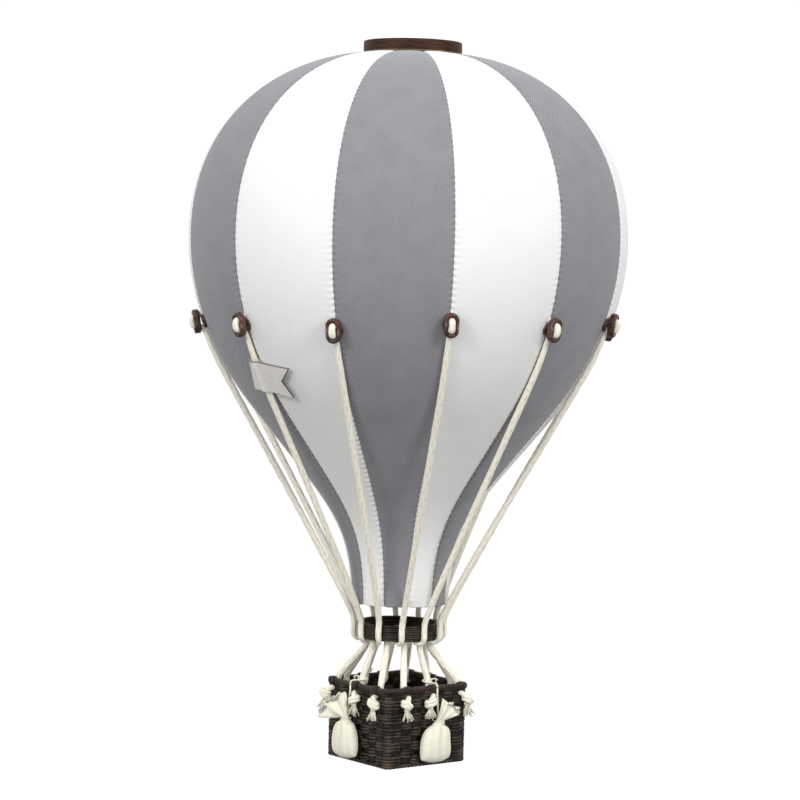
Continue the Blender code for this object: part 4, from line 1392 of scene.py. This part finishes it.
def build_bag(number, paints):
    """Sew a sandbag: a full pouch with a centre seam, gathered at the neck below its collar."""
    phase = np.random.default_rng(700 + number).uniform(0.0, TAU, 6)
    angle = np.arange(96) * TAU / 96
    grid = np.stack(bag_collar(number, angle, phase) + bag_body(number, angle, phase))
    lower = np.clip((NECK_HEIGHT + 0.004 - grid[..., 2]) / 0.016, 0.0, 1.0)
    grid = grid + (lower * BAG_SWAY[number])[..., None] * face_run(bag_face(number)[0])
    pile = Pile()
    pile.grid(grid, grid_uv(grid, True), wrap=True, caps=True)
    bag = pile.finish(f"bag_pouch_{number}", [paints["muslin"]], body=f"bag_{number}",
                      replaces=[f"bag_{number}"])
    build_bag_string(number, paints)


def build_bag_string(number, paints):
    """Tie the bag's neck with twine that runs up to the rim's edge."""
    face, middle, _ = bag_face(number)
    across, outward = face_run(face), FACE_NORMALS[face]
    pile = Pile()
    rows = [(*face_point(face, out, middle, height), factor) for out, height, factor in (
        (PIVOT_OUT, PIVOT_HEIGHT + STRING_RADIUS * 0.9, 0.70),
        (PIVOT_OUT, PIVOT_HEIGHT, 1.0),
        (PIVOT_OUT + 0.0002, PIVOT_HEIGHT - 0.0060, 1.0),
        (NECK_OUT - 0.0012, NECK_HEIGHT + 0.0040, 1.0),
        (NECK_OUT - 0.0006, NECK_HEIGHT, 1.0),
    )]
    path = smooth_path(rows, 0.0005)
    pile.tube(path[:, :3], STRING_RADIUS * path[:, 3], 10, ripple=twine_ripple)
    share = np.linspace(0.0, 1.0, 90)
    angle = share * NECK_TURNS * TAU
    ring = face_point(face, NECK_OUT, middle, NECK_HEIGHT + 0.0004)
    path = (ring + ((0.0034 * np.cos(angle))[:, None] * across
                    + (0.0032 * np.sin(angle))[:, None] * outward)
            - (share * 0.0022 - 0.0006)[:, None] * UP)
    pile.tube(path, NECK_TWINE, 8, ripple=twine_ripple)
    start = path[-1] + outward * 0.0002
    for side in (-1.0, 1.0):
        tail = smooth_path([(*(start + across * side * x + outward * y + UP * z), 1.0)
                            for x, y, z in ((0.0, 0.0, 0.0), (0.0014, 0.0010, -0.0002),
                                            (0.0024, 0.0009, -0.0018),
                                            (0.0030, 0.0008, -0.0036))], 0.0004)
        pile.tube(tail[:, :3], TAIL_TWINE, 7, ripple=twine_ripple)
    pile.finish(f"bag_string_{number}", [paints["twine"]], body=f"bag_{number}")


def build_tie(number, paints):
    """Wind the end of a bag's string round its stay, over the rim and down its edge."""
    face, middle, index = bag_face(number)
    across, outward = face_run(face), FACE_NORMALS[face]
    upper, lower = lower_stay(index)
    loop_radius = STAY_RADIUS + STRING_RADIUS + 0.0003
    loop_top = RIM_TOP + 0.0036
    loop_bottom = RIM_TOP + 0.0014
    rows = []
    for share in np.linspace(0.0, 1.0, 22):
        height = loop_top + (loop_bottom - loop_top) * share
        stay = upper + (lower - upper) * (upper[2] - height) / (upper[2] - lower[2])
        angle = math.radians(50 + 330 * share)
        place = (stay + outward * loop_radius * math.cos(angle)
                 + across * loop_radius * math.sin(angle))
        rows.append((*place[:2], height, 1.0))
    over = RIM_TOP + GAP + STRING_RADIUS
    for step in range(5):
        angle = math.radians(90 - 22.5 * step)
        out = PIVOT_OUT - STRING_BEND * (1.0 - math.cos(angle))
        height = over - STRING_BEND * (1.0 - math.sin(angle))
        rows.append((*face_point(face, out, middle, height), 1.0))
    height = PIVOT_HEIGHT + STRING_RADIUS + GAP
    rows.append((*face_point(face, PIVOT_OUT, middle, height), 1.0))
    pile = Pile()
    pile.tube(smooth_path(rows, 0.0005)[:, :3], STRING_RADIUS, 10, ripple=twine_ripple)
    bow = np.array(rows[0][:3]) + outward * 0.0005
    for side, drop, reach in ((1.0, -0.0030, 0.0034), (1.0, -0.0008, 0.0044),
                              (-1.0, -0.0020, 0.0016)):
        tail = [(*(bow + across * side * x + outward * y + UP * z), factor)
                for x, y, z, factor in ((0.0, 0.0, 0.0, 1.0), (reach * 0.5, 0.0008, 0.0005, 0.9),
                                        (reach, 0.0010, drop, 0.8))]
        path = smooth_path(tail, 0.0004)
        pile.tube(path[:, :3], NECK_TWINE * path[:, 3], 8, ripple=twine_ripple)
    pile.finish(f"bag_tie_twine_{number}", [paints["twine"]],
                replaces=[f"bag_tie_{number}"])


def tag_frame():
    """Return the tag's place on its stay and its directions across, up and outward."""
    azimuth = seam_azimuth(TAG_STAY)
    start = polar(beside_skin(STAY_LEAVES_SKIN, STAY_RADIUS), azimuth, STAY_LEAVES_SKIN)
    end = np.array(hitch_route(ring_azimuth(TAG_STAY))[0][:3])
    cord = start + (end - start) * (start[2] - TAG_HEIGHT) / (start[2] - end[2])
    up = unit(start - end)
    across = polar(1.0, azimuth + math.pi / 2 + TAG_TURN, 0.0)
    across = unit(across - up * across.dot(up))
    outward = np.cross(across, up)
    c, s = math.cos(TAG_SAG), math.sin(TAG_SAG)
    return cord, across * c - up * s, up * c + across * s, outward


def tag_section(row, length, steps):
    """Return one level of the tag: along its front, round its fold and back behind the stay."""
    wrap = STAY_RADIUS + 0.00035
    left = -TAG_LEFT + TAG_FOLD
    end = length - TAG_NOTCH * (1.0 - abs(row))
    front = left + np.linspace(1.0, 0.0, steps) * (end + TAG_LEFT - TAG_FOLD)
    from_cord = front + row * TAG_WIDTH / 2 * math.tan(TAG_SAG)
    bulge = 0.0015 * np.exp(-(from_cord / 0.0020) ** 2)
    pocket = (wrap * 2 - TAG_FOLD) * np.exp(-(np.abs(from_cord) / 0.0034) ** 4)
    pocket = pocket * np.clip((front + TAG_LEFT - TAG_FOLD) / 0.0008, 0.0, 1.0)
    turn = np.linspace(math.pi / 2, 1.5 * math.pi, 7)[1:-1]
    return np.vstack([
        np.stack([front, wrap + TAG_FOLD + bulge], -1),
        np.stack([left + TAG_FOLD * np.cos(turn), wrap + TAG_FOLD * np.sin(turn)], -1),
        np.stack([front[::-1], (wrap - TAG_FOLD - pocket)[::-1]], -1),
    ])


def build_tag(paints):
    """Fold the swallow-tailed tag round its stay, its two layers lying together."""
    cord, across, up, outward = tag_frame()
    length = TAG_LENGTH - TAG_LEFT
    steps = 44
    rows = np.linspace(-1.0, 1.0, 21)
    layers = np.stack([tag_section(row, length, steps) for row in rows])
    x, y = layers[..., 0], layers[..., 1]
    lift = 0.0012 * np.sin(x * 70 + rows[:, None] * 0.8) * (x / length).clip(0, 1)
    points = (cord + x[..., None] * across + (y + lift)[..., None] * outward
              + (rows * (TAG_WIDTH / 2))[:, None, None] * up)
    pile = Pile()
    pile.grid(points, grid_uv(points), inside=cord + across * 0.001)
    tag = pile.finish("tag_cloth", [paints["tag"]], replaces=["tag_flag"])
    pile = Pile()
    for path in (points[-1, :steps], points[:, 0], points[:, -1]):
        pile.tube(path, TAG_EDGE, 6)
    edging = pile.finish("tag_edging", [paints["thread"]])


def add_object(name, data):
    """Add an object to the scene and return it."""
    item = bpy.data.objects.new(name, data)
    bpy.context.scene.collection.objects.link(item)
    return item


def build_camera():
    """Set the camera at the photograph's place."""
    back = Vector(polar(1.0, CAMERA_AZIMUTH, 0.0))
    right = Vector((-back.y, back.x, 0.0))
    place = back * CAMERA_DISTANCE + Vector((0.0, 0.0, CAMERA_HEIGHT))
    aim = Vector((0.0, 0.0, AIM_HEIGHT)) - right * AIM_LEFT
    data = bpy.data.cameras.new("camera")
    data.lens = CAMERA_LENS
    data.sensor_width = 36.0
    data.clip_end = 100.0
    camera = add_object("camera", data)
    turn = (aim - place).to_track_quat("-Z", "Y").to_matrix().to_4x4()
    camera.matrix_world = Matrix.Translation(place) @ turn @ Matrix.Rotation(CAMERA_ROLL, 4, "Z")
    bpy.context.scene.camera = camera


def build_sky():
    """Light the scene softly from all round, less from below."""
    world = bpy.data.worlds.new("studio")
    world.use_nodes = True
    nodes, link = world.node_tree.nodes, world.node_tree.links.new
    parts = nodes.new("ShaderNodeSeparateXYZ")
    link(nodes.new("ShaderNodeTexCoord").outputs["Generated"], parts.inputs[0])
    level = nodes.new("ShaderNodeMapRange")
    level.inputs["From Min"].default_value = -1.0
    level.inputs["From Max"].default_value = 1.0
    link(parts.outputs[2], level.inputs[0])
    ramp = nodes.new("ShaderNodeValToRGB")
    link(level.outputs[0], ramp.inputs[0])
    stops = ramp.color_ramp.elements
    for number, (share, bright) in enumerate(SKY):
        stop = stops[number] if number < 2 else stops.new(share)
        stop.position = share
        stop.color = (*(bright / SKY_STRENGTH,) * 3, 1.0)
    background = nodes["Background"]
    link(ramp.outputs[0], background.inputs["Color"])
    background.inputs["Strength"].default_value = SKY_STRENGTH
    bpy.context.scene.world = world


def build_floor_below():
    """Lay the pale floor far below the balloon."""
    mesh = bpy.data.meshes.new("floor")
    corners = [(x * FLOOR_REACH, y * FLOOR_REACH, FLOOR_HEIGHT)
               for x, y in ((-1, -1), (1, -1), (1, 1), (-1, 1))]
    mesh.from_pydata(corners, [], [(0, 1, 2, 3)])
    mesh.materials.append(Paint("pale_floor", (1.0, 1.0, 1.0), 0.9).material)
    floor = add_object("floor", mesh)
    floor.visible_diffuse = False
    floor.visible_glossy = False


def build_lights():
    """Hang the two soft boxes."""
    for name, turn, distance, height, size, power in LIGHTS:
        light = bpy.data.lights.new(name, "AREA")
        light.shape = "DISK"
        light.size = size
        light.energy = power
        lamp = add_object(name, light)
        lamp.location = Vector(polar(distance, CAMERA_AZIMUTH + math.radians(turn), height))
        lamp.rotation_euler = (LIGHT_AIM - lamp.location).to_track_quat("-Z", "Y").to_euler()


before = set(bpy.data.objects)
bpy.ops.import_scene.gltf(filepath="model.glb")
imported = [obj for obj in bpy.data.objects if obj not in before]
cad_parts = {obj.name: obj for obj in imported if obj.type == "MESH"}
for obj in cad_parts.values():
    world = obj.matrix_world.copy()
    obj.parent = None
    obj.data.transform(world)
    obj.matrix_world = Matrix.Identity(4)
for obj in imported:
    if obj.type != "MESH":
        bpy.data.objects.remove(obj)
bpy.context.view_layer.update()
bpy.context.scene.view_settings.view_transform = "Standard"
all_paints = make_paints()
for build in (build_gores, build_form, build_crown, build_toggles, build_stays, build_load_ring,
              build_basket_wall, build_rim, build_floor):
    build(all_paints)
for bag_number in range(1, 5):
    build_bag(bag_number, all_paints)
    build_tie(bag_number, all_paints)
build_tag(all_paints)
build_camera()
build_sky()
build_floor_below()
build_lights()
